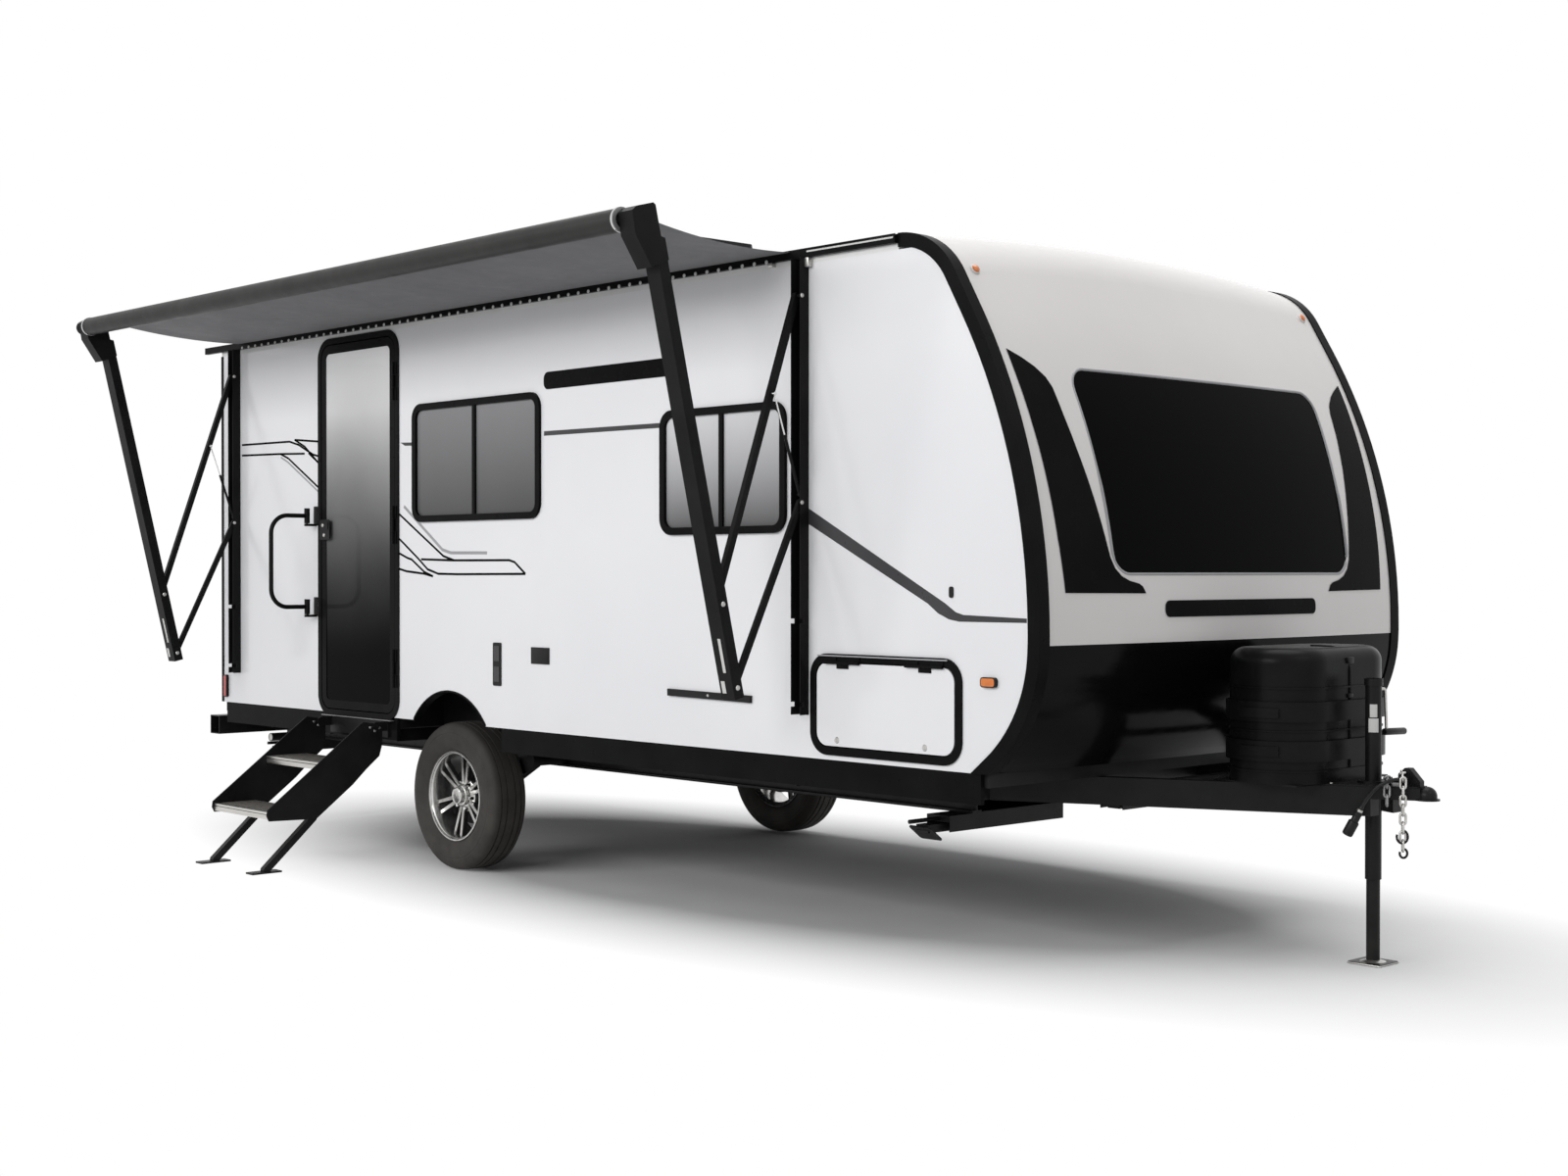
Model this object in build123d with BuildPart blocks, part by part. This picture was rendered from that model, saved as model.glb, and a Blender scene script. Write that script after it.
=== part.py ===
from build123d import *
import os
from math import asin, atan2, cos, degrees, hypot, pi, radians, sin, tan

os.makedirs("parts", exist_ok=True)

# Travel trailer with one axle. Millimetres. The origin is the centre of the coupler's ball
# socket, +X points forwards, +Y to the trailer's left (road side) and +Z up. The entry door,
# the steps and the awning are on the right (curb side, -Y).

# ---------------------------------------------------------------- driving dimensions
coupler_height = 610.0
coupler_to_axle = 4345.0

body_width = 2290.0
axle_to_rear = 2155.0
axle_to_corner = 3553.4
floor_height = 688.0
eave_height = 2600.0
roof_crown = 45.0
nose_bow = 45.0
wall_thickness = 38.0
roof_thickness = 50.0
cap_thickness = 38.0
floor_thickness = 50.0
seam = 0.3
swing_gap = 5.0

# The front's curve, from the lowest point up: sloped chin, jaw arc, long chin arc, nose,
# long face arc, brow arc, slope and roof arc. Each turn is the angle that its arc takes up,
# and the face arc's radius takes up what the others leave of the height.
nose_height = 1171.0
cap_joint_height = 1138.0
chin_radius = 1171.0
chin_turn = 3.0
jaw_radius = 546.0
jaw_turn = 47.5
face_turn = 17.8
brow_radius = 2287.0
brow_turn = 12.3
slope_length = 153.0
roof_radius = 308.0

windshield_height = 740.0
windshield_bottom = 1378.0
windshield_top_width = 1560.0
windshield_bottom_width = 1500.0
windshield_corner = 85.0
glass_thickness = 8.0
glass_recess = 3.0

door_hinge_edge = -432.0  # from the axle, along X
door_width = 673.0
door_sill_height = 708.0
door_height = 1811.0
door_corner = 70.0
door_thickness = 36.0
door_stile = 42.0
jamb_width = 14.0
flange_width = 16.0
flange_thickness = 8.0
pin_radius = 3.0
pin_clearance = 0.05
knuckle_radius = 6.5
knuckle_length = 60.0

# Windows: distance of the rear edge from the axle, sill height, width, height.
curb_windows = [(-270.0, 1623.0, 1011.0, 556.0), (1566.0, 1538.0, 748.0, 505.0)]
road_windows = [(-1215.0, 1623.0, 1011.0, 556.0), (1566.0, 1538.0, 748.0, 505.0)]
window_corner = 70.0
window_frame_width = 30.0
window_frame_proud = 14.0
pane_thickness = 6.0

baggage_rear_edge = 2484.0
baggage_width = 693.0
baggage_sill_height = 741.0
baggage_height = 309.0
baggage_corner = 52.0

tyre_diameter = 690.0
tyre_width = 195.0
rim_diameter = 420.0
tyre_inset = 27.0
arch_radius = 370.0
arch_height = 461.5
arch_offset = 22.0  # forwards of the axle
well_length = 860.0
well_height = 880.0
well_thickness = 12.0
hub_radius = 70.0
spindle_radius = 20.0
arm_length = 330.0

rail_height = 152.0
rail_flange = 50.0
rail_web = 6.0
rail_spacing = 1400.0
header_offset = 1460.0  # from the ball back to the front header
cross_member_height = 76.0
cross_member_width = 38.0
pan_thickness = 4.0
bumper_size = 100.0
bumper_wall = 5.0
bumper_gap = 96.0
skirt_height = 109.0
skirt_thickness = 18.0
skirt_inset = 6.0

tongue_angle = 25.0
tongue_height = 102.0
tongue_width = 50.0
tongue_nose = 160.0  # from the ball back to the legs' ends
ball_radius = 25.6
dome_wall = 8.0
coupler_plate = 6.0
coupler_plate_length = 330.0

jack_offset = 210.0
jack_tube_radius = 28.5
jack_head_height = 1012.0
jack_tube_bottom = 300.0
jack_leg_radius = 24.0
jack_foot_size = 130.0
jack_foot_thickness = 8.0

cover_front = 300.0  # from the ball socket to the cover's front
cover_length = 370.0
cover_width = 660.0
cover_height = 478.0
cover_wall = 6.0

step_front_edge = -495.0  # front stringer's outer face from the axle
step_width = 530.0
stringer_thickness = 5.0
tread_depth = 215.0
tread_thickness = 34.0
step_pivot_out = 62.0
step_pivot_height = 645.0
step_leg_size = 32.0
step_foot_length = 150.0

handle_out = 52.0
handle_reach = 201.0
handle_low = 1213.0
handle_high = 1671.0
handle_tube = 11.0
handle_corner = 90.0
handle_gap = 65.0  # from the door's edge to the barrels

awning_planes = (-1978.0, 2408.0)  # rear and front arms, from the axle
pivot_out = 35.0
upper_pivot_height = 2428.0
elbow_out = 438.0
elbow_height = 1272.0
lower_pivot_height = 1650.0
heel_out = 367.0
heel_height = 966.0
roller_out = 841.0
roller_height = 2626.0
roller_radius = 34.0
roll_radius = 43.0
channel_width = 52.0
channel_depth = 45.0
strut_depth = 26.0
upper_strut_span = (-21.0, 1.0)  # across the arm's plane, along X
lower_strut_span = (6.0, 20.0)
arm_width = 72.0
arm_inner = 22.0
arm_outer = 24.0
sheet_wall = 3.0
awning_pin = 5.0
fabric_thickness = 3.0
spring_radius = 6.0
spring_rod_radius = 3.0
spring_pin_radius = 3.0
spring_eye_radius = 7.0
spring_low_height = 1680.0
spring_reach = 398.0
spring_body_length = 235.0

stabilizer_places = (-1915.0, 2825.0)  # from the axle
stabilizer_inner = 190.0
stabilizer_outer = 850.0
stabilizer_base_width = 116.0
stabilizer_base_depth = 60.0
stabilizer_leg_width = 60.0
stabilizer_leg_depth = 30.0
stabilizer_leg_length = 720.0
stabilizer_drop = 36.5  # degrees from stowed to standing
stabilizer_pad = 110.0
screw_radius = 8.0
screw_reach = 160.0

conditioner_rear = -571.0
conditioner_length = 1110.0
conditioner_width = 800.0
conditioner_height = 365.0
conditioner_taper = 8.0
vent_centre = -1015.0
vent_size = 360.0

latch_front_x = -20.0
latch_length = 75.0
latch_width = 28.0
latch_height = 62.0

cord_radius = 6.5
cord_points = [
    (-132, -16, 46),
    (-92, -16, 46),
    (-62, -46, 55),
    (-60, -88, 62),
    (-88, -119, 53),
    (-120, -127, 32),
    (-146, -131, 3),
    (-163, -134, -22),
    (-176, -138, -48),
]
gland_length = 18.0
gland_half = 12.0
plug_radius = 19.0
plug_length = 92.0
plug_band = 13.0

# ---------------------------------------------------------------- places worked out
ground_z = -coupler_height
axle_x = -coupler_to_axle
half_width = body_width / 2
rear_x = axle_x - axle_to_rear
corner_x = axle_x + axle_to_corner
floor_z = ground_z + floor_height
eave_z = ground_z + eave_height
nose_z = ground_z + nose_height
joint_turn = degrees(asin((nose_height - cap_joint_height) / chin_radius))
slope_turn = 90 - face_turn - brow_turn
brow_rise = brow_radius * (cos(radians(slope_turn)) - sin(radians(face_turn)))
slope_rise = slope_length * sin(radians(slope_turn))
roof_arc_rise = roof_radius * (1 - cos(radians(slope_turn)))
face_rise = eave_height - nose_height - brow_rise - slope_rise - roof_arc_rise
face_radius = face_rise / sin(radians(face_turn))
deck_z = floor_z - floor_thickness
rail_z = deck_z - rail_height
rail_y = rail_spacing / 2
curb_y = -half_width
cap_stations = [half_width * share for share in (-1, -0.5, 0, 0.5, 1)]


def bulge(y):
    """Share of the full bow or crown that the body has at y."""
    return 1 - (y / half_width) ** 2


def joint_point(y, inset):
    """Where the front's curve crosses the joint of its two caps."""
    chin = chin_radius - inset
    x = corner_x + nose_bow * bulge(y) - inset - chin * (1 - cos(radians(joint_turn)))
    return (x, nose_z - chin * sin(radians(joint_turn)))


def upper_curve(y, inset):
    """Draws the front from the cap joint up to the roof, and returns its two ends."""
    up = (sin(radians(joint_turn)), cos(radians(joint_turn)))
    lip = JernArc(joint_point(y, inset), up, chin_radius - inset, joint_turn)
    face = JernArc(lip @ 1, lip % 1, face_radius - inset, face_turn)
    brow = JernArc(face @ 1, face % 1, brow_radius - inset, brow_turn)
    radius = roof_radius - inset
    top_z = eave_z + roof_crown * bulge(y) - inset
    rise = top_z - radius * (1 - cos(radians(slope_turn))) - (brow @ 1).Y
    slope = Line(brow @ 1, brow @ 1 + (brow % 1) * (rise / (brow % 1).Y))
    top = JernArc(slope @ 1, slope % 1, radius, slope_turn)
    return lip @ 0, top @ 1


def lower_curve(y, inset):
    """Draws the front from the cap joint down to the floor, and returns its two ends."""
    down = (-sin(radians(joint_turn)), -cos(radians(joint_turn)))
    chin = JernArc(joint_point(y, inset), down, chin_radius - inset, joint_turn - chin_turn)
    jaw = JernArc(chin @ 1, chin % 1, jaw_radius - inset, -jaw_turn)
    fall = (jaw @ 1).Y - floor_z
    under = Line(jaw @ 1, jaw @ 1 + (jaw % 1) * (fall / -(jaw % 1).Y))
    return chin @ 0, under @ 1


def cap_outline(curve, y, outer, inner):
    """Draws the closed outline between a front curve at two insets."""
    outer_start, outer_end = curve(y, outer)
    inner_start, inner_end = curve(y, inner)
    Line(outer_start, inner_start)
    Line(outer_end, inner_end)


def block(x_span, y_span, z_span, mode=Mode.ADD):
    """A box between pairs of coordinates."""
    low = (min(x_span), min(y_span), min(z_span))
    size = (abs(x_span[1] - x_span[0]), abs(y_span[1] - y_span[0]), abs(z_span[1] - z_span[0]))
    with Locations(low):
        Box(*size, align=(Align.MIN, Align.MIN, Align.MIN), mode=mode)


def window_box(window):
    """Centre and size, in X and Z, of a window's outline."""
    rear_edge, sill, width, height = window
    return axle_x + rear_edge + width / 2, ground_z + sill + height / 2, width, height


# ---------------------------------------------------------------- front caps and windshield
with BuildPart() as front_cap_upper:
    for station in cap_stations:
        with BuildSketch(Plane.XZ.offset(-station)):
            with BuildLine():
                cap_outline(upper_curve, station, 0, cap_thickness)
            make_face()
    loft()
    with BuildSketch(Plane.YZ.offset(corner_x - brow_radius)) as windshield_outline:
        with BuildLine():
            sill_z = ground_z + windshield_bottom
            top_z = sill_z + windshield_height
            Polyline(
                (-windshield_bottom_width / 2, sill_z),
                (windshield_bottom_width / 2, sill_z),
                (windshield_top_width / 2, top_z),
                (-windshield_top_width / 2, top_z),
                close=True,
            )
        make_face()
        fillet(windshield_outline.vertices(), windshield_corner)
    extrude(amount=2 * brow_radius, mode=Mode.SUBTRACT)

with BuildPart() as front_cap_lower:
    for station in cap_stations:
        with BuildSketch(Plane.XZ.offset(-station)):
            with BuildLine():
                cap_outline(lower_curve, station, 0, cap_thickness)
            make_face()
    loft()

with BuildPart() as windshield:
    for station in cap_stations:
        with BuildSketch(Plane.XZ.offset(-station)):
            with BuildLine():
                cap_outline(upper_curve, station, glass_recess, glass_recess + glass_thickness)
            make_face()
    loft()
    with BuildSketch(Plane.YZ.offset(corner_x - brow_radius)):
        add(windshield_outline.sketch_local)
        offset(amount=-seam, kind=Kind.ARC, mode=Mode.REPLACE)
    extrude(amount=2 * brow_radius, mode=Mode.INTERSECT)

# ---------------------------------------------------------------- walls, roof and floor
wall_top_z = eave_z - roof_thickness
wall_rear_x = rear_x + wall_thickness
door_x = axle_x + door_hinge_edge - door_width / 2
door_z = ground_z + door_sill_height + door_height / 2
door_margin = swing_gap + jamb_width
baggage_x = axle_x + baggage_rear_edge + baggage_width / 2
baggage_z = ground_z + baggage_sill_height + baggage_height / 2
baggage_margin = swing_gap + jamb_width
window_lap = 10.0


def wall_plane(side, out=0.0):
    """The plane out from a side wall's outer face (side -1 is the curb side), local x along X.
    An extrusion by side * depth goes inwards."""
    return Plane.XZ.offset(-side * (half_width + out))


def wall_outline():
    """Draws a side wall's outline, its front edge inside the caps."""
    inset = cap_thickness + seam
    upper_end = upper_curve(half_width, inset)[1]
    lower_end = lower_curve(half_width, inset)[1]
    Polyline(upper_end, (wall_rear_x, upper_end.Y), (wall_rear_x, floor_z), lower_end)


walls = {}
for side, windows in ((-1, curb_windows), (1, road_windows)):
    with BuildPart() as wall:
        with BuildSketch(wall_plane(side)):
            with BuildLine():
                wall_outline()
            make_face()
            with Locations(((rear_x + corner_x) / 2, (wall_top_z + floor_z) / 2)):
                Rectangle(corner_x - rear_x, wall_top_z - floor_z, mode=Mode.INTERSECT)
            for window in windows:
                window_x, window_z, width, height = window_box(window)
                with Locations((window_x, window_z)):
                    RectangleRounded(
                        width - 2 * window_lap,
                        height - 2 * window_lap,
                        window_corner - window_lap,
                        mode=Mode.SUBTRACT,
                    )
            with Locations((baggage_x, baggage_z)):
                RectangleRounded(
                    baggage_width + 2 * baggage_margin,
                    baggage_height + 2 * baggage_margin,
                    baggage_corner + baggage_margin,
                    mode=Mode.SUBTRACT,
                )
            with Locations((axle_x + arch_offset, ground_z + arch_height)):
                Circle(arch_radius, mode=Mode.SUBTRACT)
            if side < 0:
                with Locations((door_x, door_z)):
                    RectangleRounded(
                        door_width + 2 * door_margin,
                        door_height + 2 * door_margin,
                        door_corner + door_margin,
                        mode=Mode.SUBTRACT,
                    )
        extrude(amount=side * wall_thickness)
    walls[side] = wall
curbside_wall = walls[-1]
roadside_wall = walls[1]

with BuildLine() as roof_edge:
    corner_end = upper_curve(half_width, 0)[1]
    middle_end = upper_curve(0, 0)[1]
roof_front_x = min(corner_end.X, middle_end.X)

with BuildPart() as roof_panel:
    with BuildSketch(Plane.YZ.offset(rear_x)):
        with BuildLine():
            crown = ThreePointArc((-half_width, eave_z), (0, eave_z + roof_crown), (half_width, eave_z))
            low_z = eave_z - roof_thickness
            ceiling = ThreePointArc((-half_width, low_z), (0, low_z + roof_crown), (half_width, low_z))
            Line(crown @ 0, ceiling @ 0)
            Line(crown @ 1, ceiling @ 1)
        make_face()
    extrude(amount=roof_front_x - rear_x)
    with Locations((axle_x + vent_centre, 0, eave_z)):
        Box(vent_size - 30, vent_size - 30, 4 * roof_thickness, mode=Mode.SUBTRACT)

with BuildPart() as rear_wall:
    with BuildSketch(Plane.YZ.offset(rear_x)):
        with BuildLine():
            top = ThreePointArc((-half_width, low_z), (0, low_z + roof_crown), (half_width, low_z))
            Polyline(top @ 1, (half_width, floor_z), (-half_width, floor_z), top @ 0)
        make_face()
    extrude(amount=wall_thickness)

well_half = well_length / 2
well_inner_y = half_width - wall_thickness - tyre_inset - tyre_width - 12.0
deck_front_x = corner_x - 240.0
skirt_y = half_width - skirt_inset
deck_half = skirt_y - skirt_thickness - seam
with BuildPart() as floor_deck:
    with BuildSketch(Plane.XY.offset(deck_z)):
        with Locations(((rear_x + deck_front_x) / 2, 0)):
            Rectangle(deck_front_x - rear_x, 2 * deck_half)
        for side in (-1, 1):
            with Locations((axle_x, side * (half_width + well_inner_y) / 2)):
                Rectangle(well_length, half_width - well_inner_y, mode=Mode.SUBTRACT)
    extrude(amount=floor_thickness)

with BuildPart() as wheel_wells:
    well_wall_y = half_width - wall_thickness - seam
    well_top_z = ground_z + well_height
    for side in (-1, 1):
        block(
            (axle_x - well_half - well_thickness, axle_x + well_half + well_thickness),
            (side * (well_inner_y - well_thickness), side * well_wall_y),
            (floor_z, well_top_z),
        )
        block(
            (axle_x - well_half, axle_x + well_half),
            (side * well_inner_y, side * (well_wall_y + 1)),
            (floor_z - 1, well_top_z - well_thickness),
            mode=Mode.SUBTRACT,
        )

# ---------------------------------------------------------------- trim of the body
moulding_proud = 9.0
moulding_lap = 50.0
moulding_side = 6.0
moulding_edge = 42.0
rear_lap = 20.0
rear_proud = 3.0
moulding_gap = max(nose_bow, roof_crown) * bulge(half_width - moulding_lap) + seam
with BuildPart() as corner_mouldings:
    for side in (-1, 1):
        side_leg = (moulding_side, moulding_side, moulding_edge)
        lap_leg = (0, moulding_lap, -moulding_gap)
        for out_y, depth, inner in (side_leg, lap_leg):
            with BuildSketch(wall_plane(side, out_y)):
                with BuildLine():
                    outer_top = upper_curve(half_width, -moulding_proud)[1]
                    inner_top = upper_curve(half_width, inner)[1]
                    outer_low = lower_curve(half_width, -moulding_proud)[1]
                    inner_low = lower_curve(half_width, inner)[1]
                    Line(outer_top, inner_top)
                    Line(outer_low, inner_low)
                make_face()
            extrude(amount=side * depth)
        outer_y = half_width + rear_proud
        flank = (rear_x - rear_proud, rear_x + rear_lap)
        back = (rear_x - rear_proud, rear_x)
        block(flank, (side * half_width, side * outer_y), (floor_z, wall_top_z))
        block(back, (side * (half_width - rear_lap), side * outer_y), (floor_z, wall_top_z))

rail_out = 22.0
gutter_height = 34.0
gutter_top = eave_z + 6.0
spout_length = 150.0
with BuildPart() as roof_rails:
    for side in (-1, 1):
        block(
            (rear_x - spout_length, roof_front_x),
            (side * (half_width + seam), side * (half_width + rail_out)),
            (gutter_top - gutter_height, gutter_top),
        )
        block(
            (rear_x - spout_length - 1, roof_front_x + 1),
            (side * (half_width + 5), side * (half_width + rail_out - 4)),
            (gutter_top - 14, gutter_top + 1),
            mode=Mode.SUBTRACT,
        )

skirt_low_z = floor_z - skirt_height
skirt_front_x = corner_x - 262.0
with BuildPart() as body_skirts:
    for side in (-1, 1):
        for rear, front in ((rear_x + 40, axle_x - well_half), (axle_x + well_half, skirt_front_x)):
            block((rear, front), (side * (skirt_y - skirt_thickness), side * skirt_y), (skirt_low_z, floor_z))

with BuildPart() as window_frames:
    for side, windows in ((-1, curb_windows), (1, road_windows)):
        for window in windows:
            window_x, window_z, width, height = window_box(window)
            hole = 2 * window_frame_width
            outer_ring = (window_frame_proud, window_frame_proud, 0)
            inner_ring = (0, wall_thickness, window_lap + seam)
            for out, depth, lap in (outer_ring, inner_ring):
                with BuildSketch(wall_plane(side, out)):
                    with Locations((window_x, window_z)):
                        RectangleRounded(width - 2 * lap, height - 2 * lap, window_corner - lap)
                        RectangleRounded(
                            width - hole,
                            height - hole,
                            window_corner - window_frame_width,
                            mode=Mode.SUBTRACT,
                        )
                extrude(amount=side * depth)
            mullion = 22.0
            mullion_half_height = height / 2 - window_frame_width + 2
            block(
                (window_x - mullion / 2, window_x + mullion / 2),
                (side * (half_width + seam), side * (half_width + window_frame_proud - 3)),
                (window_z - mullion_half_height, window_z + mullion_half_height),
            )

with BuildPart() as window_panes:
    for side, windows in ((-1, curb_windows), (1, road_windows)):
        for window in windows:
            window_x, window_z, width, height = window_box(window)
            edge = 2 * (window_frame_width + seam)
            with BuildSketch(wall_plane(side)):
                with Locations((window_x, window_z)):
                    RectangleRounded(width - edge, height - edge, window_corner - window_frame_width - seam)
            extrude(amount=side * pane_thickness)

# ---------------------------------------------------------------- doors and their hinges
pin_out = 15.0
hinge_seam = swing_gap / 2
knuckle_pitch = knuckle_length + 1.0


def fixed_knuckles(place):
    """Two knuckles with their pin and leaf. Place: local z along the pin, local x towards the
    frame, local y away from the body."""
    with Locations(place):
        with Locations((0, 0, -knuckle_pitch), (0, 0, knuckle_pitch)):
            Cylinder(knuckle_radius, knuckle_length)
            with Locations((hinge_seam, flange_thickness - pin_out, 0)):
                Box(18, 4, knuckle_length, align=(Align.MIN, Align.MIN, Align.CENTER))
        Cylinder(pin_radius, 3 * knuckle_pitch - 1)


def moving_knuckle(place, face_out):
    """The middle knuckle with its leaf, which lies on the door's face, face_out from the wall."""
    with Locations(place):
        Cylinder(knuckle_radius, knuckle_length)
        with Locations((-hinge_seam, face_out - pin_out, 0)):
            Box(20, 6, knuckle_length, align=(Align.MAX, Align.MIN, Align.CENTER))
        Cylinder(pin_radius + pin_clearance, knuckle_length + 1, mode=Mode.SUBTRACT)


door_face_out = 6.0
door_hinge_x = door_x + door_width / 2 + hinge_seam
baggage_hinge_z = baggage_z + baggage_height / 2 + hinge_seam


def hinge_place(origin, towards_frame, outwards):
    """The plane that a hinge is drawn in, from its middle point and two directions."""
    return Plane(origin=origin, x_dir=towards_frame, z_dir=Vector(*towards_frame).cross(Vector(*outwards)))


door_hinges = [
    hinge_place((door_hinge_x, curb_y - pin_out, door_z + share * door_height), (1, 0, 0), (0, -1, 0))
    for share in (-0.38, 0.0, 0.38)
]
baggage_hinges = {
    side: [
        hinge_place(
            (baggage_x + share * baggage_width, side * (half_width + pin_out), baggage_hinge_z),
            (0, 0, 1),
            (0, side, 0),
        )
        for share in (-0.3, 0.3)
    ]
    for side in (-1, 1)
}

with BuildPart() as door_frame:
    for out, depth, grow in (
        (flange_thickness, flange_thickness, door_margin + flange_width),
        (0, wall_thickness, door_margin - seam),
    ):
        with BuildSketch(wall_plane(-1, out)):
            with Locations((door_x, door_z)):
                RectangleRounded(door_width + 2 * grow, door_height + 2 * grow, door_corner + grow)
                RectangleRounded(
                    door_width + 2 * swing_gap,
                    door_height + 2 * swing_gap,
                    door_corner + swing_gap,
                    mode=Mode.SUBTRACT,
                )
        extrude(amount=-depth)
    for place in door_hinges:
        fixed_knuckles(place)

with BuildPart() as entry_door:
    with BuildSketch(wall_plane(-1, door_face_out)):
        with Locations((door_x, door_z)):
            RectangleRounded(door_width, door_height, door_corner)
            RectangleRounded(
                door_width - 2 * door_stile,
                door_height - 2 * door_stile,
                door_corner - door_stile,
                mode=Mode.SUBTRACT,
            )
    extrude(amount=-door_thickness)
    for place in door_hinges:
        moving_knuckle(place, door_face_out)

with BuildPart() as door_glass:
    glass_edge = 2 * (door_stile + seam)
    with BuildSketch(wall_plane(-1, door_face_out - 3)):
        with Locations((door_x, door_z)):
            RectangleRounded(
                door_width - glass_edge, door_height - glass_edge, door_corner - door_stile - seam
            )
    extrude(amount=-door_thickness / 2)

with BuildPart() as baggage_frames:
    for side in (-1, 1):
        for out, depth, grow in (
            (flange_thickness, flange_thickness, baggage_margin + flange_width),
            (0, wall_thickness, baggage_margin - seam),
        ):
            with BuildSketch(wall_plane(side, out)):
                with Locations((baggage_x, baggage_z)):
                    RectangleRounded(
                        baggage_width + 2 * grow, baggage_height + 2 * grow, baggage_corner + grow
                    )
                    RectangleRounded(
                        baggage_width + 2 * swing_gap,
                        baggage_height + 2 * swing_gap,
                        baggage_corner + swing_gap,
                        mode=Mode.SUBTRACT,
                    )
            extrude(amount=side * depth)
        for place in baggage_hinges[side]:
            fixed_knuckles(place)

baggage_doors = {}
for side in (-1, 1):
    with BuildPart() as baggage_door:
        with BuildSketch(wall_plane(side, door_face_out)):
            with Locations((baggage_x, baggage_z)):
                RectangleRounded(baggage_width, baggage_height, baggage_corner)
        extrude(amount=side * door_thickness)
        for place in baggage_hinges[side]:
            moving_knuckle(place, door_face_out)
    baggage_doors[side] = baggage_door

# ---------------------------------------------------------------- chassis
header_x = -header_offset
rail_rear_x = rear_x - bumper_gap
with BuildPart() as chassis_rails:
    for side in (-1, 1):
        with BuildSketch(Plane.YZ.offset(rail_rear_x)):
            with Locations((side * rail_y, rail_z + rail_height / 2)):
                Rectangle(rail_web, rail_height)
                with Locations((0, (rail_height - rail_web) / 2), (0, -(rail_height - rail_web) / 2)):
                    Rectangle(rail_flange, rail_web)
        extrude(amount=header_x - rail_rear_x)

cross_member_places = (-1665.0, -725.0, 655.0, 1535.0)  # from the axle
outrigger_places = (-1665.0, -1085.0, -465.0, 595.0, 1535.0, 2335.0)
header_depth = 50.0
header_height = 102.0
outrigger_height = 60.0
outrigger_thickness = 5.0
with BuildPart() as cross_members:
    web_y = rail_y - rail_web / 2
    middle_z = rail_z + rail_height / 2
    header_half = rail_y + rail_flange / 2
    for place in cross_member_places:
        block(
            (axle_x + place, axle_x + place + cross_member_width),
            (-web_y, web_y),
            (middle_z - cross_member_height / 2, middle_z + cross_member_height / 2),
        )
    block((header_x, header_x + header_depth), (-header_half, header_half), (deck_z - header_height, deck_z))
    for place in outrigger_places:
        for side in (-1, 1):
            block(
                (axle_x + place, axle_x + place + outrigger_thickness),
                (side * (rail_y + rail_web / 2), side * (skirt_y - skirt_thickness - seam)),
                (deck_z - rail_web - outrigger_height, deck_z - rail_web),
            )

with BuildPart() as belly_pan:
    block((rear_x, header_x), (-header_half, header_half), (rail_z - pan_thickness, rail_z))

with BuildPart() as rear_bumper:
    bumper_x = rail_rear_x - bumper_size
    bumper_z = rail_z + 18.0
    bumper_half = half_width - 30.0
    block((bumper_x, rail_rear_x), (-bumper_half, bumper_half), (bumper_z, bumper_z + bumper_size))
    block(
        (bumper_x + bumper_wall, rail_rear_x - bumper_wall),
        (-bumper_half - 1, bumper_half + 1),
        (bumper_z + bumper_wall, bumper_z + bumper_size - bumper_wall),
        mode=Mode.SUBTRACT,
    )

# ---------------------------------------------------------------- wheels and their arms
axle_z = ground_z + tyre_diameter / 2
wheel_out_y = half_width - tyre_inset
wheel_mid_y = wheel_out_y - tyre_width / 2
wheel_in_y = wheel_out_y - tyre_width
arm_pivot_x = axle_x + arm_length
arm_pivot_z = ground_z + 520.0
arm_thickness = 44.0
arm_gap = 12.0
arm_height = 70.0
arm_outer_y = wheel_in_y - arm_gap
tyre_bore = rim_diameter / 2 + seam
drum_radius = 132.0
drum_depth = 58.0
rim_half = tyre_width / 2 - 12.0
rim_wall = 6.0
disc_out = 62.0
disc_thickness = 22.0
cap_out = 14.0
spoke_circle = 132.0

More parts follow.
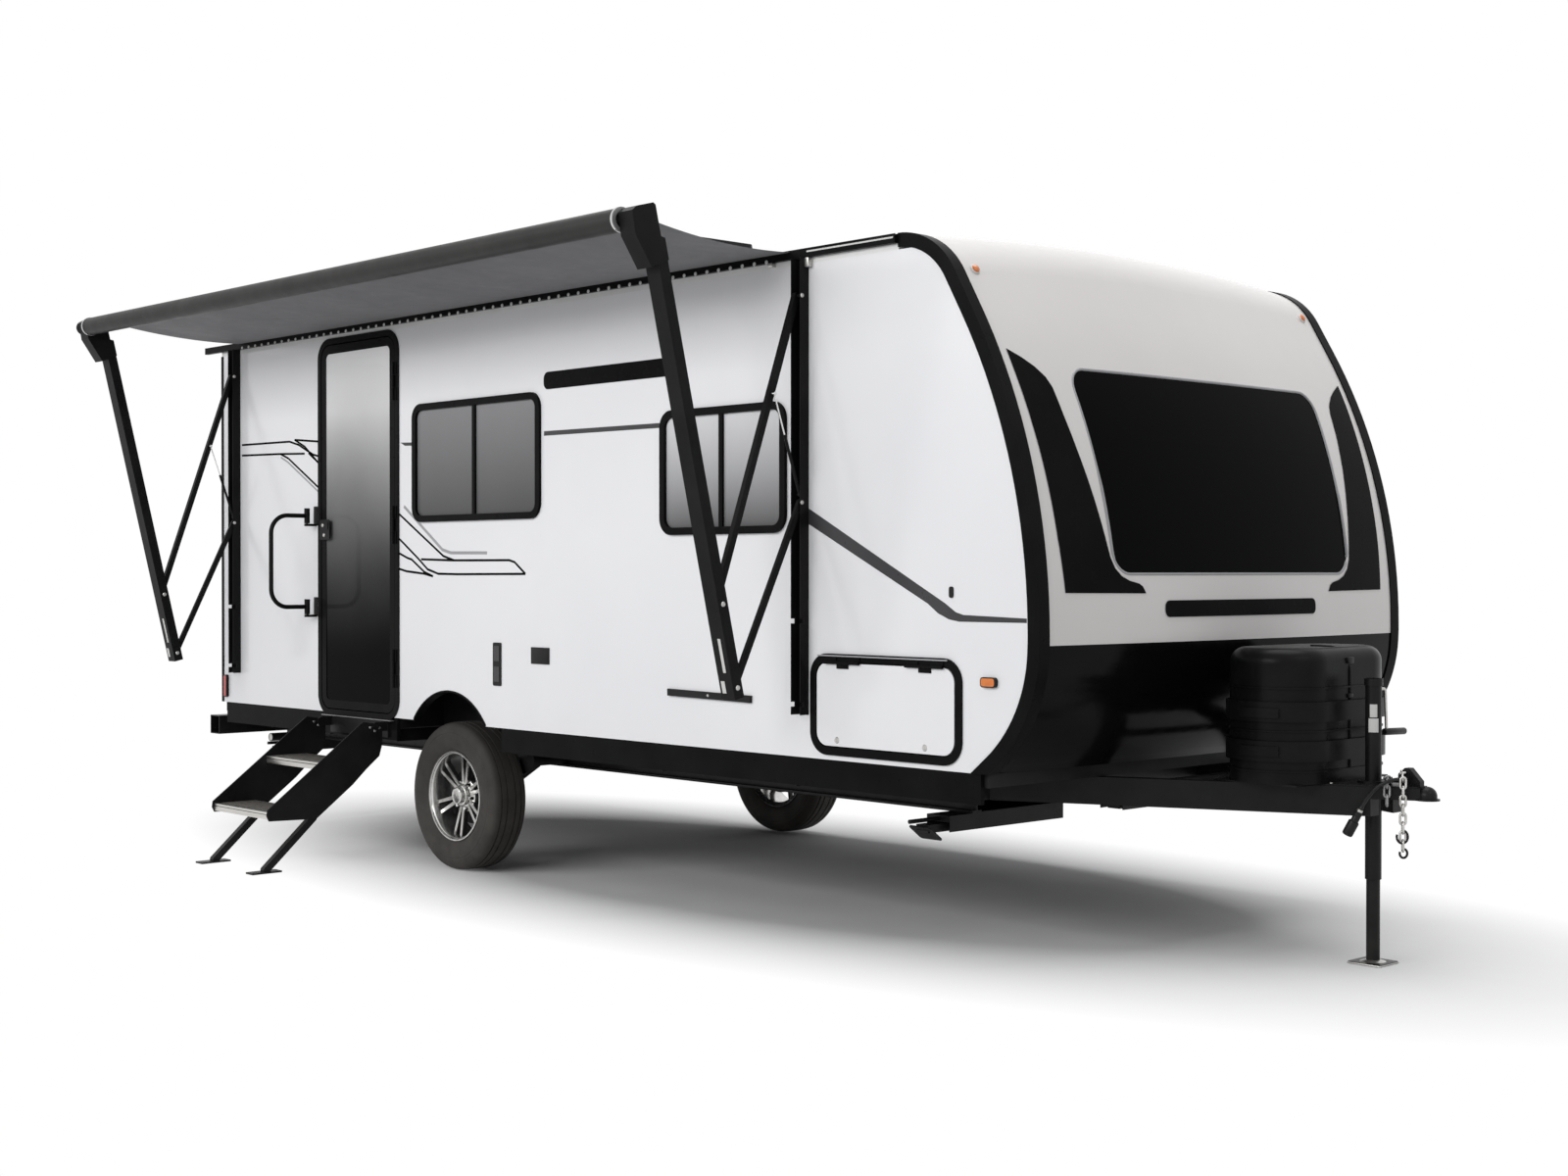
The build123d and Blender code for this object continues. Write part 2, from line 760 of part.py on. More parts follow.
tyres = {}
rims = {}
for side in (-1, 1):
    wheel_plane = Plane(origin=(axle_x, side * wheel_mid_y, axle_z), x_dir=(1, 0, 0), z_dir=(0, side, 0))
    section = Plane(origin=wheel_plane.origin, x_dir=(1, 0, 0), z_dir=(0, 0, -side))
    with BuildPart() as tyre:
        with BuildSketch(section):
            with BuildLine():
                half = tyre_width / 2
                outer = tyre_diameter / 2
                bead = half - 14.0
                right = Line((tyre_bore, -bead), (tyre_bore, bead))
                side_wall = ThreePointArc(right @ 1, ((tyre_bore + outer) / 2, half), (outer - 26, half - 8))
                shoulder = ThreePointArc(side_wall @ 1, (outer - 8, half - 19), (outer, half - 40))
                tread = Line(shoulder @ 1, (outer, 40 - half))
                far_shoulder = ThreePointArc(tread @ 1, (outer - 8, 19 - half), (outer - 26, 8 - half))
                ThreePointArc(far_shoulder @ 1, ((tyre_bore + outer) / 2, -half), right @ 0)
            make_face()
        revolve(axis=Axis(wheel_plane.origin, wheel_plane.z_dir))
    tyres[side] = tyre
    with BuildPart() as rim:
        with BuildSketch(wheel_plane.offset(-rim_half)):
            Circle(rim_diameter / 2)
            Circle(rim_diameter / 2 - rim_wall, mode=Mode.SUBTRACT)
        extrude(amount=2 * rim_half)
        with BuildSketch(wheel_plane.offset(disc_out)):
            Circle(rim_diameter / 2 - 1)
            with PolarLocations(spoke_circle, 6):
                RectangleRounded(74, 54, 14, mode=Mode.SUBTRACT)
        extrude(amount=-disc_thickness)
        with BuildSketch(wheel_plane.offset(disc_out + cap_out)):
            Circle(hub_radius)
        extrude(amount=-(disc_out + cap_out + rim_half - 6))
        with BuildSketch(wheel_plane.offset(6 - rim_half)):
            Circle(drum_radius)
        extrude(amount=drum_depth)
        with BuildSketch(wheel_plane.offset(-rim_half)):
            Circle(spindle_radius + pin_clearance)
        extrude(amount=rim_half + disc_out - 10, mode=Mode.SUBTRACT)
    rims[side] = rim

spindle_length = arm_gap + tyre_width / 2 + disc_out - 12.0
with BuildPart() as trailing_arms:
    for side in (-1, 1):
        arm_mid = ((axle_x + arm_pivot_x) / 2, (axle_z + arm_pivot_z) / 2)
        arm_tilt = degrees(atan2(arm_pivot_z - axle_z, arm_length))
        with BuildSketch(Plane.XZ.offset(-side * (arm_outer_y - arm_thickness))):
            with Locations(Location((arm_mid[0], arm_mid[1], 0), (0, 0, arm_tilt))):
                SlotCenterToCenter(hypot(arm_length, arm_pivot_z - axle_z), arm_height)
        extrude(amount=-side * arm_thickness)
        with BuildSketch(Plane.XZ.offset(-side * arm_outer_y)):
            with Locations((axle_x, axle_z)):
                Circle(spindle_radius)
        extrude(amount=-side * spindle_length)
        with BuildSketch(Plane.XZ.offset(-side * (rail_y + rail_web / 2))):
            with Locations((arm_pivot_x, arm_pivot_z)):
                Circle(arm_height / 2 - 8)
        extrude(amount=-side * (arm_outer_y - rail_y - rail_web / 2))

# ---------------------------------------------------------------- tongue, coupler and jack
leg_top_z = deck_z - 2.0
leg_low_z = leg_top_z - tongue_height
coupler_top_z = leg_top_z + coupler_plate
tan_tongue = tan(radians(tongue_angle))
tray_front_x = -coupler_plate_length - seam
cover_offset = cover_front + cover_length / 2
tray_rear_x = -cover_offset - cover_length / 2 - 10.0
leg_front_x = header_x + header_depth
with BuildPart() as tongue_frame:
    for side in (-1, 1):
        with BuildSketch(Plane.XY.offset(leg_low_z)):
            half_y = tongue_width / 2 / cos(radians(tongue_angle))
            rear_y = -leg_front_x * tan_tongue
            nose_y = tongue_nose * tan_tongue
            with BuildLine():
                Polyline(
                    (leg_front_x, side * (rear_y - half_y)),
                    (leg_front_x, side * (rear_y + half_y)),
                    (-tongue_nose, side * (nose_y + half_y)),
                    (-tongue_nose, side * (nose_y - half_y)),
                    close=True,
                )
            make_face()
        extrude(amount=tongue_height)
    tie_x = -cover_offset - cover_length
    for tie in (tie_x, tray_rear_x + 60.0):
        tie_y = -tie * tan_tongue
        block((tie, tie + tongue_width), (-tie_y, tie_y), (leg_top_z - 60.0, leg_top_z - 4.0))
    tray_half = cover_width / 2 - 30
    block((tray_rear_x, tray_front_x), (-tray_half, tray_half), (leg_top_z, coupler_top_z))

coupler_rear_x = -coupler_plate_length
dome_radius = ball_radius + dome_wall
dome_low_z = -15.0
with BuildPart() as coupler:
    with BuildSketch(Plane.XY.offset(leg_top_z)):
        with BuildLine():
            rear_half = coupler_plate_length * tan_tongue + 20.0
            Polyline(
                (coupler_rear_x, -rear_half),
                (coupler_rear_x, rear_half),
                (-20, dome_radius),
                (-20, -dome_radius),
                close=True,
            )
        make_face()
        with Locations((-jack_offset, 0)):
            Circle(jack_tube_radius + seam, mode=Mode.SUBTRACT)
    extrude(amount=coupler_plate)
    with BuildSketch(Plane.XY.offset(dome_low_z)):
        with BuildLine():
            block_half = tongue_nose * tan_tongue + half_y
            Polyline(
                (-tongue_nose + seam, -block_half),
                (-tongue_nose + seam, block_half),
                (-10, dome_radius - 2),
                (-10, 2 - dome_radius),
                close=True,
            )
        make_face()
    extrude(amount=leg_top_z + 1 - dome_low_z)
    with BuildSketch(Plane.XY.offset(dome_low_z)):
        Circle(dome_radius)
    extrude(amount=-dome_low_z)
    Sphere(dome_radius)
    with BuildSketch(Plane.XY.offset(dome_low_z - 40)):
        Circle(3 * dome_radius)
    extrude(amount=40, mode=Mode.SUBTRACT)
    with BuildSketch(Plane.XY.offset(dome_low_z)):
        Circle(dome_radius + 9)
    extrude(amount=6)
    Sphere(ball_radius, mode=Mode.SUBTRACT)
    with BuildSketch(Plane.XY.offset(dome_low_z - 1)):
        Circle(ball_radius)
    extrude(amount=1 - dome_low_z, mode=Mode.SUBTRACT)
    latch_rear_x = latch_front_x - latch_length
    with BuildSketch(Plane.XZ.offset(-latch_width / 2)):
        with BuildLine():
            Polyline(
                (latch_rear_x, coupler_top_z - 1),
                (latch_rear_x, coupler_top_z + latch_height - 14),
                (latch_rear_x + 16, coupler_top_z + latch_height),
                (latch_rear_x + 34, coupler_top_z + latch_height),
                (latch_front_x, coupler_top_z + 18),
                (latch_front_x, coupler_top_z - 1),
                close=True,
            )
        make_face()
    extrude(amount=latch_width)
    gland_x, gland_y, gland_z = cord_points[0]
    block(
        (gland_x - gland_length, gland_x),
        (gland_y - gland_half, gland_y + gland_half),
        (coupler_top_z - 1, gland_z + gland_half),
    )

jack_x = -jack_offset
jack_top_z = ground_z + jack_head_height
jack_low_z = ground_z + jack_tube_bottom
jack_bore = jack_leg_radius + 0.5
with BuildPart() as jack_housing:
    with BuildSketch(Plane.XY.offset(jack_low_z)):
        with Locations((jack_x, 0)):
            Circle(jack_tube_radius)
    extrude(amount=jack_top_z - jack_low_z)
    with BuildSketch(Plane.XY.offset(jack_top_z - 26)):
        with Locations((jack_x, 0)):
            Circle(jack_tube_radius + 4)
    extrude(amount=26)
    with BuildSketch(Plane.XY.offset(coupler_top_z)):
        with Locations((jack_x, 0)):
            Circle(jack_tube_radius + 26)
    extrude(amount=8)
    with BuildSketch(Plane.XY.offset(jack_low_z)):
        with Locations((jack_x, 0)):
            Circle(jack_bore)
    extrude(amount=jack_top_z - jack_low_z - 30, mode=Mode.SUBTRACT)

with BuildPart() as jack_leg:
    with BuildSketch(Plane.XY.offset(ground_z)):
        with Locations((jack_x, 0)):
            RectangleRounded(jack_foot_size, jack_foot_size, 10)
    extrude(amount=jack_foot_thickness)
    with BuildSketch(Plane.XY.offset(ground_z + jack_foot_thickness)):
        with Locations((jack_x, 0)):
            Circle(jack_leg_radius)
    extrude(amount=640.0)

with BuildPart() as gas_bottle_cover:
    with BuildSketch(Plane.XY.offset(coupler_top_z)):
        with Locations((-cover_offset, 0)):
            RectangleRounded(cover_length, cover_width, cover_length / 2 - 12)
    extrude(amount=cover_height)
    fillet(gas_bottle_cover.faces().sort_by(Axis.Z)[-1].edges(), 55)
    with BuildSketch(Plane.XY.offset(coupler_top_z)):
        with Locations((-cover_offset, 0)):
            RectangleRounded(
                cover_length - 2 * cover_wall,
                cover_width - 2 * cover_wall,
                cover_length / 2 - 12 - cover_wall,
            )
    extrude(amount=cover_height - 60, mode=Mode.SUBTRACT)

# ---------------------------------------------------------------- entry steps
step_front_x = axle_x + step_front_edge
step_rear_x = step_front_x - step_width
step_pivot = (step_pivot_out, step_pivot_height)
pivot_radius = 8.0
ear_gap = 1.0
ear_thickness = 6.0


def curb_plane(x):
    """A plane across the body at x: local x is the distance out from the curb-side wall, local y
    the height over the ground. Its normal is -X."""
    return Plane(origin=(x, curb_y, ground_z), x_dir=(0, -1, 0), z_dir=(-1, 0, 0))


ear_radius = 22.0
with BuildPart() as step_bracket:
    block(
        (step_rear_x, step_front_x),
        (curb_y + skirt_inset, curb_y - 6.0),
        (ground_z + step_pivot_height - 55, ground_z + door_sill_height - door_margin - flange_width - 2),
    )
    for edge_x, direction in ((step_front_x, -1), (step_rear_x, 1)):
        ear_x = edge_x + direction * (stringer_thickness + ear_gap)
        with BuildSketch(curb_plane(ear_x)):
            with Locations(step_pivot):
                Circle(ear_radius)
            with Locations((step_pivot_out / 2, step_pivot_height)):
                Rectangle(step_pivot_out, 2 * ear_radius)
        extrude(amount=-direction * ear_thickness)
        with BuildSketch(curb_plane(ear_x + direction)):
            with Locations(step_pivot):
                Circle(pivot_radius)
        extrude(amount=direction * (stringer_thickness + ear_gap + 4))

stringer_outline = [
    (36, 655),
    (143, 672),
    (648, 290),
    (652, 262),
    (640, 238),
    (394, 230),
    (200, 376),
    (123, 447),
    (52, 505),
    (36, 560),
]
with BuildPart() as step_stringers:
    for edge_x, direction in ((step_front_x, -1), (step_rear_x, 1)):
        with BuildSketch(curb_plane(edge_x)):
            with BuildLine():
                Polyline(*stringer_outline, close=True)
            make_face()
            with Locations(step_pivot):
                Circle(pivot_radius + pin_clearance, mode=Mode.SUBTRACT)
        extrude(amount=-direction * stringer_thickness)

tread_places = ((640.0, 279.0), (362.0, 490.0))  # front edge out from the wall, top over the ground
with BuildPart() as step_treads:
    for front, top in tread_places:
        block(
            (step_rear_x + stringer_thickness, step_front_x - stringer_thickness),
            (curb_y - front + tread_depth, curb_y - front),
            (ground_z + top - tread_thickness, ground_z + top),
        )

leg_head = (398.0, 240.0)
leg_foot = (655.0, 8.0)
with BuildPart() as step_legs:
    for edge_x, direction in ((step_front_x, -1), (step_rear_x, 1)):
        leg_x = edge_x + direction * (stringer_thickness + step_leg_size / 2)
        lean = degrees(atan2(leg_foot[1] - leg_head[1], leg_foot[0] - leg_head[0]))
        length = hypot(leg_foot[0] - leg_head[0], leg_foot[1] - leg_head[1])
        with BuildSketch(curb_plane(leg_x)):
            with Locations(
                Location(((leg_head[0] + leg_foot[0]) / 2, (leg_head[1] + leg_foot[1]) / 2, 0), (0, 0, lean))
            ):
                SlotCenterToCenter(length - step_leg_size / 2, step_leg_size)
        extrude(amount=step_leg_size / 2, both=True)
        block(
            (leg_x - 32, leg_x + 32),
            (curb_y - leg_foot[0] - step_foot_length / 2, curb_y - leg_foot[0] + step_foot_length / 2),
            (ground_z, ground_z + leg_foot[1]),
        )
        below = (ground_z - 100, ground_z)
        block((leg_x - 80, leg_x + 80), (curb_y - 900, curb_y), below, mode=Mode.SUBTRACT)

# ---------------------------------------------------------------- assist handle
handle_x = door_x - door_width / 2 - handle_gap
barrel_radius = 14.0
barrel_length = 76.0
handle_pin = 6.0
handle_y = curb_y - handle_out
with BuildPart() as handle_brackets:
    for height in (handle_low, handle_high):
        z = ground_z + height
        block((handle_x - 16, handle_x + 16), (curb_y - 5, curb_y), (z - 48, z + 48))
        arm_z = z - barrel_length / 2 - 14
        block((handle_x - 11, handle_x + 11), (handle_y, curb_y - 4), (arm_z, arm_z + 12))
        with BuildSketch(Plane.XY.offset(arm_z)):
            with Locations((handle_x, handle_y)):
                Circle(barrel_radius)
        extrude(amount=12)
        with BuildSketch(Plane.XY.offset(z - barrel_length / 2 - 4)):
            with Locations((handle_x, handle_y)):
                Circle(handle_pin)
        extrude(amount=barrel_length)

with BuildPart() as assist_handle:
    with BuildLine(curb_plane(handle_x)):
        FilletPolyline(
            (handle_out + barrel_radius - 3, handle_high),
            (handle_out + handle_reach, handle_high),
            (handle_out + handle_reach, handle_low),
            (handle_out + barrel_radius - 3, handle_low),
            radius=handle_corner,
        )
    loop_start = (handle_x, handle_y - barrel_radius + 3, ground_z + handle_high)
    with BuildSketch(Plane(origin=loop_start, z_dir=(0, -1, 0))):
        Circle(handle_tube)
    sweep()
    for height in (handle_low, handle_high):
        with BuildSketch(Plane.XY.offset(ground_z + height - barrel_length / 2)):
            with Locations((handle_x, handle_y)):
                Circle(barrel_radius)
        extrude(amount=barrel_length)
        with BuildSketch(Plane.XY.offset(ground_z + height - barrel_length / 2)):
            with Locations((handle_x, handle_y)):
                Circle(handle_pin + pin_clearance)
        extrude(amount=barrel_length, mode=Mode.SUBTRACT)

# ---------------------------------------------------------------- awning
arm_xs = [axle_x + place for place in awning_planes]
channel_low = 850.0
channel_top_z = gutter_top - gutter_height - seam
upper_pivot = (pivot_out, upper_pivot_height)
lower_pivot = (pivot_out, lower_pivot_height)
elbow = (elbow_out, elbow_height)
heel = (heel_out, heel_height)
arm_lean = degrees(atan2(elbow_out - heel_out, elbow_height - heel_height))
lean_sin = sin(radians(arm_lean))
lean_cos = cos(radians(arm_lean))
roller_along = (roller_out - heel_out) * lean_sin + (roller_height - heel_height) * lean_cos
head_half = 40.0
notch_gap = 4.0  # round the pins that drop into the wall channel when the awning is shut
spring_pivot = (pivot_out, spring_low_height)
spring_span = (7.0, 19.0)
upper_length = hypot(elbow_out - pivot_out, upper_pivot_height - elbow_height)
lower_length = hypot(heel_out - pivot_out, lower_pivot_height - heel_height)
spring_share = spring_reach / upper_length
spring_top = (
    pivot_out + (elbow_out - pivot_out) * spring_share,
    upper_pivot_height + (elbow_height - upper_pivot_height) * spring_share,
)
spring_length = hypot(spring_top[0] - pivot_out, spring_top[1] - spring_low_height)
spring_lean = atan2(spring_top[0] - pivot_out, spring_top[1] - spring_low_height)

with BuildPart() as awning_wall_channels:
    for x in arm_xs:
        half = channel_width / 2
        block((x - half, x + half), (curb_y, curb_y - channel_depth), (ground_z + channel_low, channel_top_z))
        block(
            (x - half + sheet_wall, x + half - sheet_wall),
            (curb_y - sheet_wall, curb_y - channel_depth - 1),
            (ground_z + channel_low - 1, channel_top_z + 1),
            mode=Mode.SUBTRACT,
        )
        with BuildSketch(curb_plane(x)):
            with Locations(upper_pivot):
                Circle(awning_pin)
        extrude(amount=half, both=True)
        with BuildSketch(curb_plane(x + half)):
            with Locations(lower_pivot):
                Circle(awning_pin)
        extrude(amount=half - lower_strut_span[0])
        for shut_height in (upper_pivot_height - upper_length, lower_pivot_height - lower_length):
            z = ground_z + shut_height
            block(
                (x - half - 1, x + half + 1),
                (curb_y - pivot_out + awning_pin + notch_gap, curb_y - channel_depth - 1),
                (z - awning_pin - notch_gap, z + awning_pin + notch_gap),
                mode=Mode.SUBTRACT,
            )
        with BuildSketch(curb_plane(x + half)):
            with Locations(spring_pivot):
                Circle(spring_pin_radius)
        extrude(amount=half - spring_span[0] + 1)


def strut_place(start, end):
    """Middle and turn of a strut between two pins, in a curb plane."""
    turn = degrees(atan2(end[1] - start[1], end[0] - start[0]))
    return Location(((start[0] + end[0]) / 2, (start[1] + end[1]) / 2, 0), (0, 0, turn))


open_gap = 0.5  # between the rod's open eye and the stub that it meets at rest
with BuildPart() as awning_upper_struts:
    for x in arm_xs:
        with BuildSketch(curb_plane(x + upper_strut_span[1])):
            with Locations(strut_place(upper_pivot, elbow)):
                SlotCenterToCenter(upper_length, strut_depth)
            with Locations(upper_pivot, elbow):
                Circle(awning_pin + pin_clearance, mode=Mode.SUBTRACT)
        extrude(amount=upper_strut_span[1] - upper_strut_span[0])
        with BuildSketch(curb_plane(x + spring_span[0] - open_gap)):
            with Locations(spring_top):
                Circle(spring_pin_radius)
        extrude(amount=spring_span[0] - open_gap + 1 - upper_strut_span[1])

open_bore = awning_pin + 2.5
with BuildPart() as awning_lower_struts:
    for x in arm_xs:
        with BuildSketch(curb_plane(x + lower_strut_span[1])):
            with Locations(strut_place(lower_pivot, heel)):
                SlotCenterToCenter(lower_length, strut_depth)
            with Locations(lower_pivot):
                Circle(awning_pin + pin_clearance, mode=Mode.SUBTRACT)
            with Locations(heel):
                Circle(open_bore, mode=Mode.SUBTRACT)
        extrude(amount=lower_strut_span[1] - lower_strut_span[0])

# The arm's head, out from the heel line and along from the roller. Its inner side steps back
# where it passes the gutter with the awning shut, and a slot lets the wall channel in.
gutter_gap = rail_out + 6.0 - pivot_out
head_outline = [
    (gutter_gap, 32),
    (gutter_gap, -79),
    (gutter_gap - 17, -86),
    (gutter_gap - 17, -165),
    (60, -180),
    (107, -57),
    (103, 26),
    (79, 38),
    (gutter_gap + 9, 41),
]
head_slot = (-60, channel_depth + 6.0 - pivot_out)
head_slot_top = 36.0  # below the roller
arm_start = 40.0
with BuildPart() as awning_arms:
    for x in arm_xs:
        arm_plane = Plane(
            origin=(x, curb_y - heel_out, ground_z + heel_height),
            x_dir=(1, 0, 0),
            z_dir=(0, -lean_sin, lean_cos),
        )
        with BuildSketch(arm_plane.offset(-arm_start)):
            with Locations((0, (arm_inner - arm_outer) / 2)):
                Rectangle(arm_width, arm_inner + arm_outer)
            with Locations((0, (arm_inner + 1 - arm_outer + sheet_wall) / 2)):
                Rectangle(
                    arm_width - 2 * sheet_wall, arm_inner + 1 + arm_outer - sheet_wall, mode=Mode.SUBTRACT
                )
        extrude(amount=roller_along + arm_start - 150)
        with BuildSketch(curb_plane(x)):
            with Locations(heel):
                Circle(awning_pin)
        extrude(amount=arm_width / 2, both=True)
        with BuildSketch(curb_plane(x + upper_strut_span[1])):
            with Locations(elbow):
                Circle(awning_pin)
        extrude(amount=arm_width / 2 + upper_strut_span[1])
        head_plane = Plane(
            origin=arm_plane.origin, x_dir=(0, -lean_cos, -lean_sin), z_dir=(-1, 0, 0)
        )
        with BuildSketch(head_plane):
            with BuildLine():
                Polyline(*[(out, roller_along + along) for out, along in head_outline], close=True)
            make_face()
        extrude(amount=head_half, both=True)
        with BuildSketch(head_plane):
            with Locations((sum(head_slot) / 2, roller_along - head_slot_top / 2 - 100)):
                Rectangle(head_slot[1] - head_slot[0], 200 - head_slot_top)
        extrude(amount=arm_width / 2 - sheet_wall, both=True, mode=Mode.SUBTRACT)

roll_end_gap = 10.0
roller_centre = (roller_out, roller_height)
with BuildPart() as awning_roller:
    with BuildSketch(curb_plane(arm_xs[1] - head_half)):
        with Locations(roller_centre):
            Circle(roller_radius / 2)
    extrude(amount=arm_xs[1] - arm_xs[0] - 2 * head_half)
    with BuildSketch(curb_plane(arm_xs[1] - head_half - roll_end_gap)):
        with Locations(roller_centre):
            Circle(roll_radius)
    extrude(amount=arm_xs[1] - arm_xs[0] - 2 * head_half - 2 * roll_end_gap)

fabric_inset = head_half + roll_end_gap + 6.0
fabric_wall_end = (rail_out + seam, eave_height - 2.0)
fabric_roll_end = (roller_out - 8.0, roller_height + roll_radius + 1.0)
with BuildPart() as awning_fabric:
    with BuildSketch(curb_plane(arm_xs[1] - fabric_inset)):
        with BuildLine():
            Polyline(
                fabric_wall_end,
                fabric_roll_end,
                (fabric_roll_end[0], fabric_roll_end[1] + fabric_thickness),
                (fabric_wall_end[0], fabric_wall_end[1] + fabric_thickness),
                close=True,
            )
        make_face()
    extrude(amount=arm_xs[1] - arm_xs[0] - 2 * fabric_inset)

spring_bore = spring_rod_radius + 0.4
with BuildPart() as awning_spring_cylinders:
    for x in arm_xs:
        along = Plane(
            origin=(x + sum(spring_span) / 2, curb_y - pivot_out, ground_z + spring_low_height),
            x_dir=(1, 0, 0),
            z_dir=(0, -sin(spring_lean), cos(spring_lean)),
        )
        with BuildSketch(along):
            Circle(spring_radius)
        extrude(amount=spring_body_length)
        with BuildSketch(along.offset(40)):
            Circle(spring_bore)
        extrude(amount=spring_body_length, mode=Mode.SUBTRACT)
        with BuildSketch(curb_plane(x + spring_span[1])):
            with Locations(spring_pivot):
                Circle(spring_eye_radius)
        extrude(amount=spring_span[1] - spring_span[0])
        with BuildSketch(curb_plane(x + spring_span[1])):
            with Locations(spring_pivot):
                Circle(spring_pin_radius + pin_clearance)
        extrude(amount=spring_span[1] - spring_span[0], mode=Mode.SUBTRACT)

with BuildPart() as awning_spring_rods:
    for x in arm_xs:
        along = Plane(
            origin=(x + sum(spring_span) / 2, curb_y - pivot_out, ground_z + spring_low_height),
            x_dir=(1, 0, 0),
            z_dir=(0, -sin(spring_lean), cos(spring_lean)),
        )
        with BuildSketch(along.offset(120)):
            Circle(spring_rod_radius)
        extrude(amount=spring_length - 120)
        with BuildSketch(curb_plane(x + spring_span[1])):
            with Locations(spring_top):
                Circle(spring_eye_radius)
        extrude(amount=spring_span[1] - spring_span[0])

# ---------------------------------------------------------------- stabilizer jacks
base_top_z = rail_z - pan_thickness
base_low_z = base_top_z - stabilizer_base_depth
leg_pivot_y = stabilizer_inner + 28.0
leg_pivot_z = base_low_z + 16.0
with BuildPart() as stabilizer_bases:
    for place in stabilizer_places:
        x = axle_x + place
        half = stabilizer_base_width / 2
        for side in (-1, 1):
            base_span = (side * stabilizer_inner, side * stabilizer_outer)
            block((x - half, x + half), base_span, (base_low_z, base_top_z))
            block(
                (x - half + sheet_wall, x + half - sheet_wall),
                (side * (stabilizer_inner - 1), side * (stabilizer_outer + 1)),
                (base_low_z - 1, base_top_z - sheet_wall),
                mode=Mode.SUBTRACT,
            )
            with BuildSketch(Plane.YZ.offset(x - half)):
                with Locations((side * leg_pivot_y, leg_pivot_z)):
                    Circle(pivot_radius)
            extrude(amount=2 * half)
            block(
                (x - half, x + half),
                (side * (stabilizer_outer - sheet_wall), side * stabilizer_outer),
                (base_top_z - 24, base_top_z),
            )
            with BuildSketch(Plane.XZ.offset(-side * (stabilizer_outer - sheet_wall))):
                with Locations((x, base_top_z - 13)):
                    Circle(screw_radius)
            extrude(amount=-side * screw_reach)

stabilizer_legs = {}
for end, place in zip(("rear", "front"), stabilizer_places):
    for side, label in ((-1, "curbside"), (1, "roadside")):
        x = axle_x + place
        with BuildPart() as leg:
            block(
                (x - stabilizer_leg_width / 2, x + stabilizer_leg_width / 2),
                (side * (leg_pivot_y - 14), side * (leg_pivot_y + stabilizer_leg_length)),
                (leg_pivot_z - stabilizer_leg_depth / 2, leg_pivot_z + stabilizer_leg_depth / 2),
            )
            pad_plane = Plane(
                origin=(
                    x,
                    side * (leg_pivot_y + stabilizer_leg_length - 20),
                    leg_pivot_z - stabilizer_leg_depth / 2,
                ),
                x_dir=(1, 0, 0),
                z_dir=(0, -side * sin(radians(stabilizer_drop)), cos(radians(stabilizer_drop))),
            )
            with BuildSketch(pad_plane):
                RectangleRounded(stabilizer_pad, stabilizer_pad * 0.8, 12)
            extrude(amount=-5)
            with BuildSketch(Plane.YZ.offset(x)):
                with Locations((side * leg_pivot_y, leg_pivot_z)):
                    Circle(pivot_radius + pin_clearance)
            extrude(amount=stabilizer_leg_width, both=True, mode=Mode.SUBTRACT)
        stabilizer_legs[f"stabilizer_leg_{end}_{label}"] = leg

# ---------------------------------------------------------------- roof
roof_top_z = eave_z + roof_crown + seam
shroud_wall = 6.0
with BuildPart() as air_conditioner:
    middle_x = axle_x + conditioner_rear + conditioner_length / 2
    for inset, mode in ((0, Mode.ADD), (shroud_wall, Mode.SUBTRACT)):
        with BuildSketch(Plane.XY.offset(roof_top_z)):
            with Locations((middle_x, 0)):
                RectangleRounded(conditioner_length - 2 * inset, conditioner_width - 2 * inset, 90 - inset)
        extrude(amount=conditioner_height - inset, taper=conditioner_taper, mode=mode)

vent_x = axle_x + vent_centre
vent_half = vent_size / 2
vent_height = 55.0
lid_thickness = 30.0
lid_lap = 12.0
lid_pin_x = vent_x - vent_half - 20.0
lid_pin_z = roof_top_z + vent_height + 12.0
lid_knuckle_y = 60.0
with BuildPart() as roof_vent_base:
    with BuildSketch(Plane.XY.offset(roof_top_z)):
        with Locations((vent_x, 0)):
            Rectangle(vent_size, vent_size)
            Rectangle(vent_size - 24, vent_size - 24, mode=Mode.SUBTRACT)
    extrude(amount=vent_height)
    for y in (-2 * lid_knuckle_y, 2 * lid_knuckle_y):
        ear_top_z = roof_top_z + vent_height - 3
        block((lid_pin_x - 6, vent_x - vent_half + 1), (y - 6, y + 6), (roof_top_z, ear_top_z))
        block((lid_pin_x - 6, lid_pin_x + 5), (y - 6, y + 6), (roof_top_z, lid_pin_z))
        with BuildSketch(Plane.XZ.offset(-y + 6)):
            with Locations((lid_pin_x, lid_pin_z)):
                Circle(6)
        extrude(amount=-12)
    with BuildSketch(Plane.XZ.offset(2 * lid_knuckle_y)):
        with Locations((lid_pin_x, lid_pin_z)):
            Circle(pin_radius)
    extrude(amount=-4 * lid_knuckle_y)

